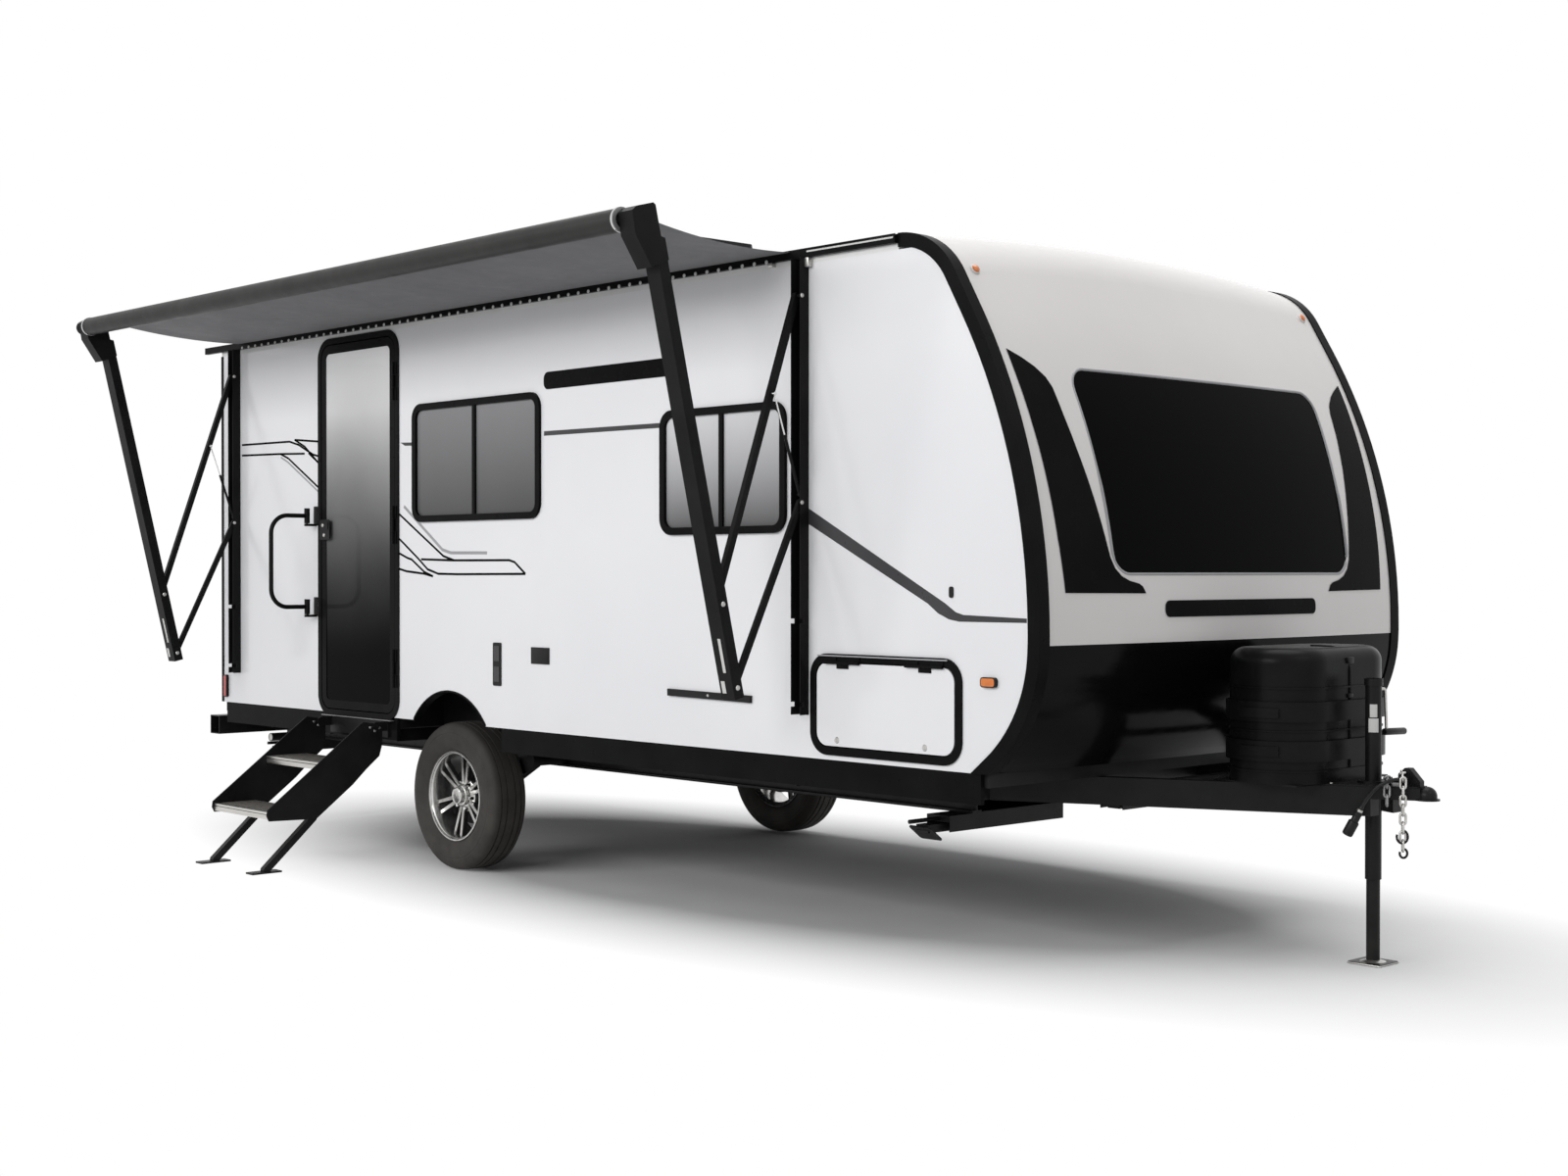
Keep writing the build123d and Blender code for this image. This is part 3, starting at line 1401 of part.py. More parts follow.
with BuildPart() as roof_vent_lid:
    lid_low_z = roof_top_z + vent_height + seam
    with BuildSketch(Plane.XY.offset(lid_low_z)):
        with Locations((vent_x, 0)):
            RectangleRounded(vent_size + 2 * lid_lap, vent_size + 2 * lid_lap, 30)
    extrude(amount=lid_thickness, taper=30)
    for y in (-lid_knuckle_y, lid_knuckle_y):
        block((lid_pin_x, vent_x - vent_half + 10), (y - 20, y + 20), (lid_low_z, lid_low_z + 8))
        with BuildSketch(Plane.XZ.offset(20 - y)):
            with Locations((lid_pin_x, lid_pin_z)):
                Circle(6)
        extrude(amount=-40)
        with BuildSketch(Plane.XZ.offset(21 - y)):
            with Locations((lid_pin_x, lid_pin_z)):
                Circle(pin_radius + pin_clearance)
        extrude(amount=-42, mode=Mode.SUBTRACT)

# ---------------------------------------------------------------- lamps
tail_lamp_height = 1010.0
with BuildPart() as lamps:
    for side in (-1, 1):
        with BuildSketch(Plane.YZ.offset(rear_x)):
            with Locations((side * (half_width - 170), ground_z + tail_lamp_height)):
                RectangleRounded(120, 250, 40)
        extrude(amount=-28)
        for place, height, width, tall in ((-2103.0, 775.0, 36.0, 120.0), (3339.0, 1008.0, 70.0, 36.0)):
            with BuildSketch(wall_plane(side, 14)):
                with Locations((axle_x + place, ground_z + height)):
                    RectangleRounded(width, tall, 12)
            extrude(amount=side * 14)

# ---------------------------------------------------------------- tow cord
cord_radii = []
for before, point, after in zip(cord_points, cord_points[1:], cord_points[2:]):
    run_in = Vector(*point) - Vector(*before)
    run_out = Vector(*after) - Vector(*point)
    half_turn = run_in.get_angle(run_out) / 2
    cord_radii.append(0.45 * min(run_in.length, run_out.length) / tan(radians(half_turn)))
print("cord radii", [round(radius) for radius in cord_radii])

with BuildPart() as tow_cord:
    with BuildLine() as cord_path:
        FilletPolyline(*cord_points, radius=cord_radii)
    with BuildSketch(Plane(origin=cord_path.line @ 0, z_dir=cord_path.line % 0)):
        Circle(cord_radius)
    sweep()
cord_length = sum(edge.length for edge in cord_path.edges())
cord_volume = pi * cord_radius**2 * cord_length
print("cord length", round(cord_length), "volume ratio", tow_cord.part.volume / cord_volume)

plug_plane = Plane(origin=cord_path.line @ 1, z_dir=cord_path.line % 1)
with BuildPart() as tow_plug:
    with BuildSketch(plug_plane):
        Circle(cord_radius + 4)
    extrude(amount=plug_band)
    with BuildSketch(plug_plane.offset(plug_band)):
        Circle(plug_radius - 5)
    extrude(amount=plug_length * 0.4)
    with BuildSketch(plug_plane.offset(plug_band + plug_length * 0.4)):
        Circle(plug_radius)
    extrude(amount=plug_length * 0.6)

# ---------------------------------------------------------------- writing the pieces
pieces = {
    "front_cap_upper": front_cap_upper,
    "front_cap_lower": front_cap_lower,
    "windshield": windshield,
    "curbside_wall": curbside_wall,
    "roadside_wall": roadside_wall,
    "roof_panel": roof_panel,
    "rear_wall": rear_wall,
    "floor_deck": floor_deck,
    "wheel_wells": wheel_wells,
    "corner_mouldings": corner_mouldings,
    "roof_rails": roof_rails,
    "body_skirts": body_skirts,
    "window_frames": window_frames,
    "window_panes": window_panes,
    "door_frame": door_frame,
    "entry_door": entry_door,
    "door_glass": door_glass,
    "baggage_frames": baggage_frames,
    "baggage_door_curbside": baggage_doors[-1],
    "baggage_door_roadside": baggage_doors[1],
    "chassis_rails": chassis_rails,
    "cross_members": cross_members,
    "belly_pan": belly_pan,
    "rear_bumper": rear_bumper,
    "tyre_curbside": tyres[-1],
    "tyre_roadside": tyres[1],
    "rim_curbside": rims[-1],
    "rim_roadside": rims[1],
    "trailing_arms": trailing_arms,
    "tongue_frame": tongue_frame,
    "coupler": coupler,
    "jack_housing": jack_housing,
    "jack_leg": jack_leg,
    "gas_bottle_cover": gas_bottle_cover,
    "step_bracket": step_bracket,
    "step_stringers": step_stringers,
    "step_treads": step_treads,
    "step_legs": step_legs,
    "handle_brackets": handle_brackets,
    "assist_handle": assist_handle,
    "awning_wall_channels": awning_wall_channels,
    "awning_upper_struts": awning_upper_struts,
    "awning_lower_struts": awning_lower_struts,
    "awning_arms": awning_arms,
    "awning_roller": awning_roller,
    "awning_fabric": awning_fabric,
    "awning_spring_cylinders": awning_spring_cylinders,
    "awning_spring_rods": awning_spring_rods,
    "stabilizer_bases": stabilizer_bases,
    **stabilizer_legs,
    "air_conditioner": air_conditioner,
    "roof_vent_base": roof_vent_base,
    "roof_vent_lid": roof_vent_lid,
    "lamps": lamps,
    "tow_cord": tow_cord,
    "tow_plug": tow_plug,
}
for label, piece in pieces.items():
    piece.part.label = label
    export_step(piece.part, f"parts/{label}.step")
print(len(pieces), "pieces")
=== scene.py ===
from math import asin, atan2, cos, hypot, pi, radians, sin

import bmesh
import bpy
from mathutils import Matrix, Vector
from mathutils.bvhtree import BVHTree


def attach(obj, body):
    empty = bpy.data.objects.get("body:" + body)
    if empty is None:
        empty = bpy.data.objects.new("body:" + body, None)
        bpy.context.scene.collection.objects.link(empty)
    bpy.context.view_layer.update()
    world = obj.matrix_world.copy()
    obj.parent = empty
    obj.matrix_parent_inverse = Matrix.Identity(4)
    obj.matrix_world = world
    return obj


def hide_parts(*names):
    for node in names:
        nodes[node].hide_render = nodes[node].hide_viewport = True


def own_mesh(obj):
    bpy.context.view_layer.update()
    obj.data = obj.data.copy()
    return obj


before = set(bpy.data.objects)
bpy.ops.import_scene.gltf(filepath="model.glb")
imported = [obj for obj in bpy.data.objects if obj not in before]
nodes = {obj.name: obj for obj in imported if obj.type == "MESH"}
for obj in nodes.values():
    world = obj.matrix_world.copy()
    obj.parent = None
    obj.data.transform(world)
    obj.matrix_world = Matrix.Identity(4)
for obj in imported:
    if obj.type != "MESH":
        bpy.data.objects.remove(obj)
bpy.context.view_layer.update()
ground = -0.61
half_width = 1.145  # of the body, over its side walls
curb_wall = -half_width
tyre_radius = 0.345
axle = Vector((-4.345, 0, ground + tyre_radius))


# ---------------------------------------------------------------- shared shader effects
def effect_group(name, inputs, outputs):
    """An empty node group with named sockets, and its two end nodes."""
    group = bpy.data.node_groups.new(name, "ShaderNodeTree")
    for label, kind, value in inputs:
        socket = group.interface.new_socket(label, in_out="INPUT", socket_type=kind)
        if value is not None:
            socket.default_value = value
    for label, kind in outputs:
        group.interface.new_socket(label, in_out="OUTPUT", socket_type=kind)
    return group, group.nodes.new("NodeGroupInput"), group.nodes.new("NodeGroupOutput")


def noise(group, vector, scale, detail=3.0, roughness=0.5):
    node = group.nodes.new("ShaderNodeTexNoise")
    node.inputs["Scale"].default_value = scale
    node.inputs["Detail"].default_value = detail
    node.inputs["Roughness"].default_value = roughness
    group.links.new(vector, node.inputs["Vector"])
    return node


def math_node(tree, kind, first, second, clamp=False):
    node = tree.nodes.new("ShaderNodeMath")
    node.operation = kind
    node.use_clamp = clamp
    for socket, value in zip(node.inputs, (first, second)):
        if isinstance(value, (int, float)):
            socket.default_value = value
        else:
            tree.links.new(value, socket)
    return node.outputs[0]


def ramp(tree, value, low, high, out_low=0.0, out_high=1.0):
    node = tree.nodes.new("ShaderNodeMapRange")
    tree.links.new(value, node.inputs["Value"])
    node.inputs["From Min"].default_value = low
    node.inputs["From Max"].default_value = high
    node.inputs["To Min"].default_value = out_low
    node.inputs["To Max"].default_value = out_high
    return node.outputs["Result"]


def mix_colour(tree, share, first, second):
    node = tree.nodes.new("ShaderNodeMix")
    node.data_type = "RGBA"
    for socket, value in ((node.inputs[0], share), (node.inputs[6], first), (node.inputs[7], second)):
        if isinstance(value, (int, float)):
            socket.default_value = value
        elif isinstance(value, (tuple, list)):
            socket.default_value = (*value[:3], 1)
        else:
            tree.links.new(value, socket)
    return node.outputs[2]


def build_mottle():
    """Slow change of tone and gloss over a painted, moulded or coated surface."""
    group, start, end = effect_group(
        "surface_mottle",
        [
            ("Vector", "NodeSocketVector", None),
            ("Base", "NodeSocketColor", (0.5, 0.5, 0.5, 1)),
            ("Second", "NodeSocketColor", (0.4, 0.4, 0.4, 1)),
            ("Scale", "NodeSocketFloat", 2.0),
            ("Low gloss", "NodeSocketFloat", 0.4),
            ("High gloss", "NodeSocketFloat", 0.3),
        ],
        [("Color", "NodeSocketColor"), ("Roughness", "NodeSocketFloat")],
    )
    broad = noise(group, start.outputs["Vector"], 1.0, 4.0, 0.55)
    group.links.new(start.outputs["Scale"], broad.inputs["Scale"])
    share = ramp(group, broad.outputs["Fac"], 0.35, 0.65)
    tone = mix_colour(group, share, start.outputs["Base"], start.outputs["Second"])
    group.links.new(tone, end.inputs["Color"])
    spots = noise(group, start.outputs["Vector"], 14.0, 5.0, 0.6)
    gloss = group.nodes.new("ShaderNodeMapRange")
    group.links.new(spots.outputs["Fac"], gloss.inputs["Value"])
    gloss.inputs["From Min"].default_value = 0.3
    gloss.inputs["From Max"].default_value = 0.7
    group.links.new(start.outputs["Low gloss"], gloss.inputs["To Min"])
    group.links.new(start.outputs["High gloss"], gloss.inputs["To Max"])
    group.links.new(gloss.outputs["Result"], end.inputs["Roughness"])
    return group


def build_grain():
    """Fine moulded or sprayed grain, as a height."""
    group, start, end = effect_group(
        "fine_grain",
        [
            ("Vector", "NodeSocketVector", None),
            ("Scale", "NodeSocketFloat", 400.0),
            ("Coarse", "NodeSocketFloat", 0.3),
        ],
        [("Height", "NodeSocketFloat")],
    )
    fine = noise(group, start.outputs["Vector"], 1.0, 2.0, 0.6)
    group.links.new(start.outputs["Scale"], fine.inputs["Scale"])
    wide = noise(group, start.outputs["Vector"], 1.0, 2.0, 0.5)
    group.links.new(math_node(group, "MULTIPLY", start.outputs["Scale"], 0.12), wide.inputs["Scale"])
    coarse = math_node(group, "MULTIPLY", wide.outputs["Fac"], start.outputs["Coarse"])
    group.links.new(math_node(group, "ADD", fine.outputs["Fac"], coarse), end.inputs["Height"])
    return group


def build_weave():
    """Plain weave from two crossing sets of threads."""
    group, start, end = effect_group(
        "plain_weave",
        [("Vector", "NodeSocketVector", None), ("Threads", "NodeSocketFloat", 900.0)],
        [("Height", "NodeSocketFloat"), ("Mask", "NodeSocketFloat")],
    )
    waves = []
    for axis in ("X", "Y"):
        wave = group.nodes.new("ShaderNodeTexWave")
        wave.bands_direction = axis
        wave.inputs["Distortion"].default_value = 0.4
        group.links.new(start.outputs["Vector"], wave.inputs["Vector"])
        group.links.new(start.outputs["Threads"], wave.inputs["Scale"])
        waves.append(wave.outputs["Fac"])
    both = math_node(group, "MAXIMUM", waves[0], waves[1])
    group.links.new(both, end.inputs["Height"])
    group.links.new(math_node(group, "MULTIPLY", waves[0], waves[1]), end.inputs["Mask"])
    return group


def build_dust():
    """Share of pale road dust: more towards the ground, in soft patches."""
    group, start, end = effect_group(
        "road_dust",
        [
            ("Vector", "NodeSocketVector", None),
            ("Top", "NodeSocketFloat", 0.4),
            ("Amount", "NodeSocketFloat", 0.2),
        ],
        [("Mask", "NodeSocketFloat")],
    )
    split = group.nodes.new("ShaderNodeSeparateXYZ")
    group.links.new(start.outputs["Vector"], split.inputs["Vector"])
    height = group.nodes.new("ShaderNodeMapRange")
    group.links.new(split.outputs["Z"], height.inputs["Value"])
    group.links.new(start.outputs["Top"], height.inputs["From Min"])
    height.inputs["From Max"].default_value = ground
    patches = noise(group, start.outputs["Vector"], 5.0, 6.0, 0.65)
    soft = ramp(group, patches.outputs["Fac"], 0.3, 0.7)
    share = math_node(group, "MULTIPLY", height.outputs["Result"], soft, clamp=True)
    group.links.new(math_node(group, "MULTIPLY", share, start.outputs["Amount"]), end.inputs["Mask"])
    return group


mottle_group = build_mottle()
grain_group = build_grain()
weave_group = build_weave()
dust_group = build_dust()


# ---------------------------------------------------------------- finishes
def start_finish(name):
    material = bpy.data.materials.new(name)
    material.use_nodes = True
    tree = material.node_tree
    shader = tree.nodes["Principled BSDF"]
    place = tree.nodes.new("ShaderNodeTexCoord").outputs["Object"]
    return material, tree, shader, place


def place_group(tree, group, vector, **values):
    node = tree.nodes.new("ShaderNodeGroup")
    node.node_tree = group
    tree.links.new(vector, node.inputs["Vector"])
    for label, value in values.items():
        socket = node.inputs[label.replace("_", " ")]
        socket.default_value = (*value, 1) if isinstance(value, tuple) else value
    return node


def add_bump(tree, shader, height, strength, distance):
    bump = tree.nodes.new("ShaderNodeBump")
    bump.inputs["Strength"].default_value = strength
    bump.inputs["Distance"].default_value = distance
    tree.links.new(height, bump.inputs["Height"])
    tree.links.new(bump.outputs["Normal"], shader.inputs["Normal"])


road_dust = (0.21, 0.19, 0.165)


def coated(
    name, base, second, gloss, tone_scale=1.5, grain=None, metal=0.0, coat=0.0, dust=0.0, dust_top=0.3,
    shine=0.5,
):
    """A painted, moulded or plated finish. Grain: scale, bump strength and distance."""
    material, tree, shader, place = start_finish(name)
    tone = place_group(
        tree, mottle_group, place, Base=base, Second=second, Scale=tone_scale,
        Low_gloss=gloss[0], High_gloss=gloss[1],
    )
    colour = tone.outputs["Color"]
    if dust:
        layer = place_group(tree, dust_group, place, Top=dust_top, Amount=dust)
        colour = mix_colour(tree, layer.outputs["Mask"], colour, road_dust)
    tree.links.new(colour, shader.inputs["Base Color"])
    tree.links.new(tone.outputs["Roughness"], shader.inputs["Roughness"])
    shader.inputs["Metallic"].default_value = metal
    shader.inputs["Coat Weight"].default_value = coat
    shader.inputs["Coat Roughness"].default_value = 0.06
    shader.inputs["Specular IOR Level"].default_value = shine
    if grain:
        scale, strength, distance = grain
        texture = place_group(tree, grain_group, place, Scale=scale)
        add_bump(tree, shader, texture.outputs["Height"], strength, distance)
    return material


def glass_with_painted_reflection(name, top, bottom, reflection_shades, shine=0.12, front_painted_light=0.0):
    """Dark glass with a painted reflection: its colour runs through the given tones from bottom to top, and
    its front panes can be painted paler still.
    """
    material, tree, shader, place = start_finish(name)
    shader.inputs["Specular IOR Level"].default_value = shine
    split = tree.nodes.new("ShaderNodeSeparateXYZ")
    tree.links.new(place, split.inputs["Vector"])
    # Painted reflection: the colour follows the height, from the darker bottom tones to the paler top tones.
    height = ramp(tree, split.outputs["Z"], bottom, top)
    cloud = noise(tree, place, 1.6, 2.0)
    wander = ramp(tree, cloud.outputs["Fac"], 0.3, 0.7, -0.03, 0.03)
    level = math_node(tree, "ADD", height, wander, clamp=True)
    blend = tree.nodes.new("ShaderNodeValToRGB")
    blend.color_ramp.interpolation = "B_SPLINE"
    steps = blend.color_ramp.elements
    steps[0].position, steps[0].color = reflection_shades[0][0], (*reflection_shades[0][1], 1)
    steps[1].position, steps[1].color = reflection_shades[-1][0], (*reflection_shades[-1][1], 1)
    for position, reflection_tone in reflection_shades[1:-1]:
        step = steps.new(position)
        step.color = (*reflection_tone, 1)
    tree.links.new(level, blend.inputs["Fac"])
    # Painted highlight: the front panes are painted paler, more so towards their top.
    front_share = ramp(tree, split.outputs["X"], -3.2, -2.9, 0.0, front_painted_light)
    ahead = math_node(tree, "MULTIPLY", front_share, level, clamp=True)
    painted_reflection_colour = mix_colour(tree, ahead, blend.outputs["Color"], (0.85, 0.85, 0.87))
    tree.links.new(painted_reflection_colour, shader.inputs["Base Color"])
    smudge = noise(tree, place, 9.0, 4.0)
    tree.links.new(ramp(tree, smudge.outputs["Fac"], 0.3, 0.7, 0.03, 0.07), shader.inputs["Roughness"])
    ripple = noise(tree, place, 1.2, 1.0)
    add_bump(tree, shader, ripple.outputs["Fac"], 0.06, 0.01)
    return material


def brushed(name, base, second, gloss, stretch):
    """Metal with drawn lines along the axis that stretch makes long."""
    material, tree, shader, place = start_finish(name)
    mapping = tree.nodes.new("ShaderNodeMapping")
    mapping.inputs["Scale"].default_value = stretch
    tree.links.new(place, mapping.inputs["Vector"])
    lines = noise(tree, mapping.outputs["Vector"], 60.0, 4.0)
    share = ramp(tree, lines.outputs["Fac"], 0.3, 0.7)
    tree.links.new(mix_colour(tree, share, base, second), shader.inputs["Base Color"])
    tree.links.new(ramp(tree, lines.outputs["Fac"], 0.3, 0.7, *gloss), shader.inputs["Roughness"])
    shader.inputs["Metallic"].default_value = 0.9
    add_bump(tree, shader, lines.outputs["Fac"], 0.15, 0.0005)
    return material


body_white = coated(
    "body_white", (0.83, 0.83, 0.845), (0.79, 0.79, 0.81), (0.24, 0.17), 0.7, (3.0, 0.05, 0.004),
    coat=0.15, dust=0.1, dust_top=0.25,
)
cap_white = coated(
    "cap_white", (0.73, 0.705, 0.69), (0.69, 0.665, 0.65), (0.24, 0.17), 0.8, (2.0, 0.04, 0.004),
    coat=0.2,
)
cap_black = coated(
    "cap_black", (0.0025, 0.0025, 0.0026), (0.004, 0.004, 0.0042), (0.2, 0.12), 1.2, (3.0, 0.05, 0.004),
    dust=0.03, dust_top=0.2, shine=0.05,
)
roof_membrane = coated(
    "roof_membrane", (0.78, 0.78, 0.77), (0.68, 0.68, 0.67), (0.7, 0.55), 1.5, (250.0, 0.25, 0.001),
)
moulded_black = coated(
    "moulded_black", (0.008, 0.008, 0.0085), (0.014, 0.014, 0.0145), (0.5, 0.38), 6.0,
    (900.0, 0.25, 0.0004), dust=0.08, dust_top=0.1, shine=0.14,
)
cover_black = coated(
    "cover_black", (0.004, 0.004, 0.0042), (0.0075, 0.0075, 0.0078), (0.36, 0.26), 5.0,
    (500.0, 0.15, 0.0004), dust=0.04, dust_top=0.4, shine=0.08,
)
trim_satin = coated(
    "trim_satin", (0.0045, 0.0045, 0.0048), (0.0075, 0.0075, 0.008), (0.36, 0.26), 4.0,
    (600.0, 0.1, 0.0003), shine=0.03,
)
chassis_paint = coated(
    "chassis_paint", (0.006, 0.006, 0.0062), (0.011, 0.011, 0.011), (0.42, 0.3), 5.0,
    (220.0, 0.2, 0.0006), dust=0.07, dust_top=0.0, shine=0.14,
)
step_paint = coated(
    "step_paint", (0.007, 0.007, 0.0072), (0.012, 0.012, 0.012), (0.45, 0.34), 6.0,
    (700.0, 0.2, 0.0003), shine=0.16,
)
tyre_rubber = coated(
    "tyre_rubber", (0.03, 0.028, 0.0265), (0.042, 0.039, 0.036), (0.72, 0.6), 7.0, (500.0, 0.3, 0.0005),
    dust=0.2, dust_top=0.1, shine=0.2,
)
rim_machined = coated(
    "rim_machined", (0.66, 0.655, 0.64), (0.54, 0.535, 0.52), (0.26, 0.18), 20.0, (300.0, 0.1, 0.0003),
    metal=0.95,
)
rim_pocket = coated(
    "rim_pocket", (0.012, 0.012, 0.012), (0.02, 0.02, 0.02), (0.45, 0.32), 12.0, (500.0, 0.1, 0.0003),
    shine=0.2,
)
alloy_mill = brushed("alloy_mill", (0.66, 0.64, 0.61), (0.5, 0.485, 0.46), (0.36, 0.26), (0.05, 1.0, 1.0))
grip_strip = coated(
    "grip_strip", (0.15, 0.14, 0.125), (0.09, 0.083, 0.075), (0.85, 0.7), 40.0, (700.0, 0.6, 0.0008),
    shine=0.2,
)
handle_satin = coated(
    "handle_satin", (0.006, 0.006, 0.006), (0.01, 0.01, 0.01), (0.4, 0.3), 12.0, (700.0, 0.15, 0.0003),
    shine=0.08,
)
awning_powder = coated(
    "awning_powder", (0.007, 0.007, 0.0073), (0.011, 0.011, 0.0113), (0.42, 0.32), 5.0,
    (900.0, 0.15, 0.0003), shine=0.07,
)
roll_cover = coated(
    "roll_cover", (0.02, 0.019, 0.018), (0.013, 0.0125, 0.012), (0.5, 0.4), 3.0, (900.0, 0.3, 0.0004),
    shine=0.2,
)
rod_chrome = coated("rod_chrome", (0.8, 0.8, 0.8), (0.72, 0.72, 0.72), (0.14, 0.09), 30.0, None, metal=1.0)
shroud_gloss = coated(
    "shroud_gloss", (0.006, 0.006, 0.0065), (0.011, 0.011, 0.0115), (0.3, 0.2), 4.0,
    (500.0, 0.12, 0.0004), shine=0.16,
)
vent_plastic = coated(
    "vent_plastic", (0.76, 0.755, 0.74), (0.69, 0.685, 0.67), (0.42, 0.32), 8.0, (400.0, 0.12, 0.0004),
)
cable_sheath = coated(
    "cable_sheath", (0.01, 0.01, 0.0105), (0.018, 0.018, 0.0185), (0.5, 0.4), 25.0,
    (900.0, 0.25, 0.0003), shine=0.2,
)
plug_moulding = coated(
    "plug_moulding", (0.008, 0.008, 0.0085), (0.015, 0.015, 0.0155), (0.5, 0.38), 25.0,
    (1200.0, 0.25, 0.0003), shine=0.2,
)
zinc_plate = coated(
    "zinc_plate", (0.56, 0.555, 0.54), (0.45, 0.44, 0.42), (0.42, 0.28), 25.0, (350.0, 0.15, 0.0003),
    metal=0.9,
)
graphic_black = coated(
    "graphic_black", (0.005, 0.005, 0.0055), (0.008, 0.008, 0.0085), (0.3, 0.22), 3.0,
    (400.0, 0.05, 0.0002), shine=0.015,
)
# Grey print film, also used for the windshield gasket and for painted highlights on the baggage door frames.
grey_print_and_highlight = coated(
    "grey_print_and_highlight", (0.36, 0.36, 0.37), (0.32, 0.32, 0.33), (0.34, 0.26), 3.0, (400.0, 0.05, 0.0002),
    shine=0.3,
)
graphic_dark = coated(
    "graphic_dark", (0.045, 0.045, 0.048), (0.035, 0.035, 0.037), (0.34, 0.26), 3.0,
    (400.0, 0.05, 0.0002), shine=0.3,
)
# Grey plated metal for the roller drums and threshold; on the rear chain it is a darker copy of the zinc,
# painted shade.
grey_plate_and_chain_shade = coated(
    "grey_plate_and_chain_shade", (0.3, 0.3, 0.3), (0.25, 0.25, 0.25), (0.4, 0.3), 12.0, (500.0, 0.1, 0.0002),
    metal=0.5, shine=0.3,
)
# Pale plastic for labels, lamp rings and lights; also used for a painted highlight on the gutter edge.
pale_label_and_highlight = coated(
    "pale_label_and_highlight", (0.62, 0.62, 0.6), (0.56, 0.56, 0.54), (0.5, 0.4), 12.0, (500.0, 0.1, 0.0002),
)
amber_lens = coated(
    "amber_lens", (0.75, 0.2, 0.02), (0.62, 0.15, 0.015), (0.2, 0.12), 20.0, (400.0, 0.25, 0.0006),
    coat=0.4,
)
red_lens = coated(
    "red_lens", (0.5, 0.012, 0.01), (0.36, 0.008, 0.008), (0.18, 0.1), 20.0, (300.0, 0.3, 0.0008),
    coat=0.5,
)

# Painted reflection: darker at the bottom, paler at the top, and paler again on the front panes.
pane_glass = glass_with_painted_reflection(
    "pane_glass",
    ground + 2.15,
    ground + 1.52,
    [(0.0, (0.06, 0.06, 0.061)), (0.45, (0.12, 0.12, 0.122)), (1.0, (0.26, 0.26, 0.265))],
    front_painted_light=0.9,
)
# Painted reflection: the door's glass runs from near black at the bottom to white at the top.
door_pane = glass_with_painted_reflection(
    "door_pane",
    ground + 2.47,
    ground + 0.97,
    [
        (0.0, (0.0005, 0.0005, 0.0005)),
        (0.13, (0.005, 0.005, 0.005)),
        (0.33, (0.055, 0.055, 0.055)),
        (0.53, (0.2, 0.2, 0.2)),
        (0.73, (0.46, 0.46, 0.46)),
        (0.93, (0.96, 0.96, 0.96)),
        (1.0, (1.0, 1.0, 1.0)),
    ],
    shine=0.02,
)
front_glass = glass_with_painted_reflection(
    "front_glass",
    ground + 2.1,
    ground + 1.4,
    [(0.0, (0.0022, 0.0028, 0.0024)), (1.0, (0.0016, 0.0016, 0.0016))],
    shine=0.015,
)

finish_nodes = (
    (cap_white, "front_cap_upper"),
    (cap_black, "front_cap_lower"),
    (front_glass, "windshield"),
    (body_white, "curbside_wall roadside_wall rear_wall baggage_door_curbside baggage_door_roadside"),
    (roof_membrane, "roof_panel"),
    (moulded_black, "floor_deck wheel_wells belly_pan"),
    (
        trim_satin,
        "corner_mouldings roof_rails body_skirts window_frames door_frame entry_door "
        "baggage_frames",
    ),
    (pane_glass, "window_panes"),
    (door_pane, "door_glass"),
    (
        chassis_paint,
        "chassis_rails cross_members rear_bumper trailing_arms tongue_frame coupler "
        "jack_housing jack_leg stabilizer_bases stabilizer_leg_rear_curbside "
        "stabilizer_leg_rear_roadside stabilizer_leg_front_curbside "
        "stabilizer_leg_front_roadside",
    ),
    (tyre_rubber, "tyre_curbside tyre_roadside"),
    (rim_machined, "rim_curbside rim_roadside"),
    (cover_black, "gas_bottle_cover"),
    (step_paint, "step_bracket step_stringers step_legs"),
    (alloy_mill, "step_treads"),
    (handle_satin, "handle_brackets assist_handle"),
    (
        awning_powder,
        "awning_wall_channels awning_upper_struts awning_lower_struts awning_arms "
        "awning_fabric awning_spring_cylinders",
    ),
    (roll_cover, "awning_roller"),
    (rod_chrome, "awning_spring_rods"),
    (shroud_gloss, "air_conditioner lamps"),
    (vent_plastic, "roof_vent_base roof_vent_lid"),
    (cable_sheath, "tow_cord"),
    (plug_moulding, "tow_plug"),
)
node_finish = {name: finish for finish, names in finish_nodes for name in names.split()}
for name, node in nodes.items():
    if not node.material_slots:
        node.data.materials.append(None)
    for slot in node.material_slots:
        slot.link = "OBJECT"
        slot.material = node_finish[name]


# ---------------------------------------------------------------- making pieces
def link_piece(name, mesh, body, finish):
    piece = bpy.data.objects.new(name, mesh)
    bpy.context.scene.collection.objects.link(piece)
    if not mesh.materials:
        mesh.materials.append(finish)
    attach(piece, body)
    return piece


def finish_piece(name, shape, body, finish, smooth_angle=35):
    """Turns a bmesh into a piece of the object with outward normals and soft shading."""
    bmesh.ops.remove_doubles(shape, verts=shape.verts, dist=1e-6)
    bmesh.ops.recalc_face_normals(shape, faces=shape.faces)
    for face in shape.faces:
        face.smooth = True
    mesh = bpy.data.meshes.new(name)
    shape.to_mesh(mesh)
    shape.free()
    mesh.set_sharp_from_angle(angle=radians(smooth_angle))
    return link_piece(name, mesh, body, finish)


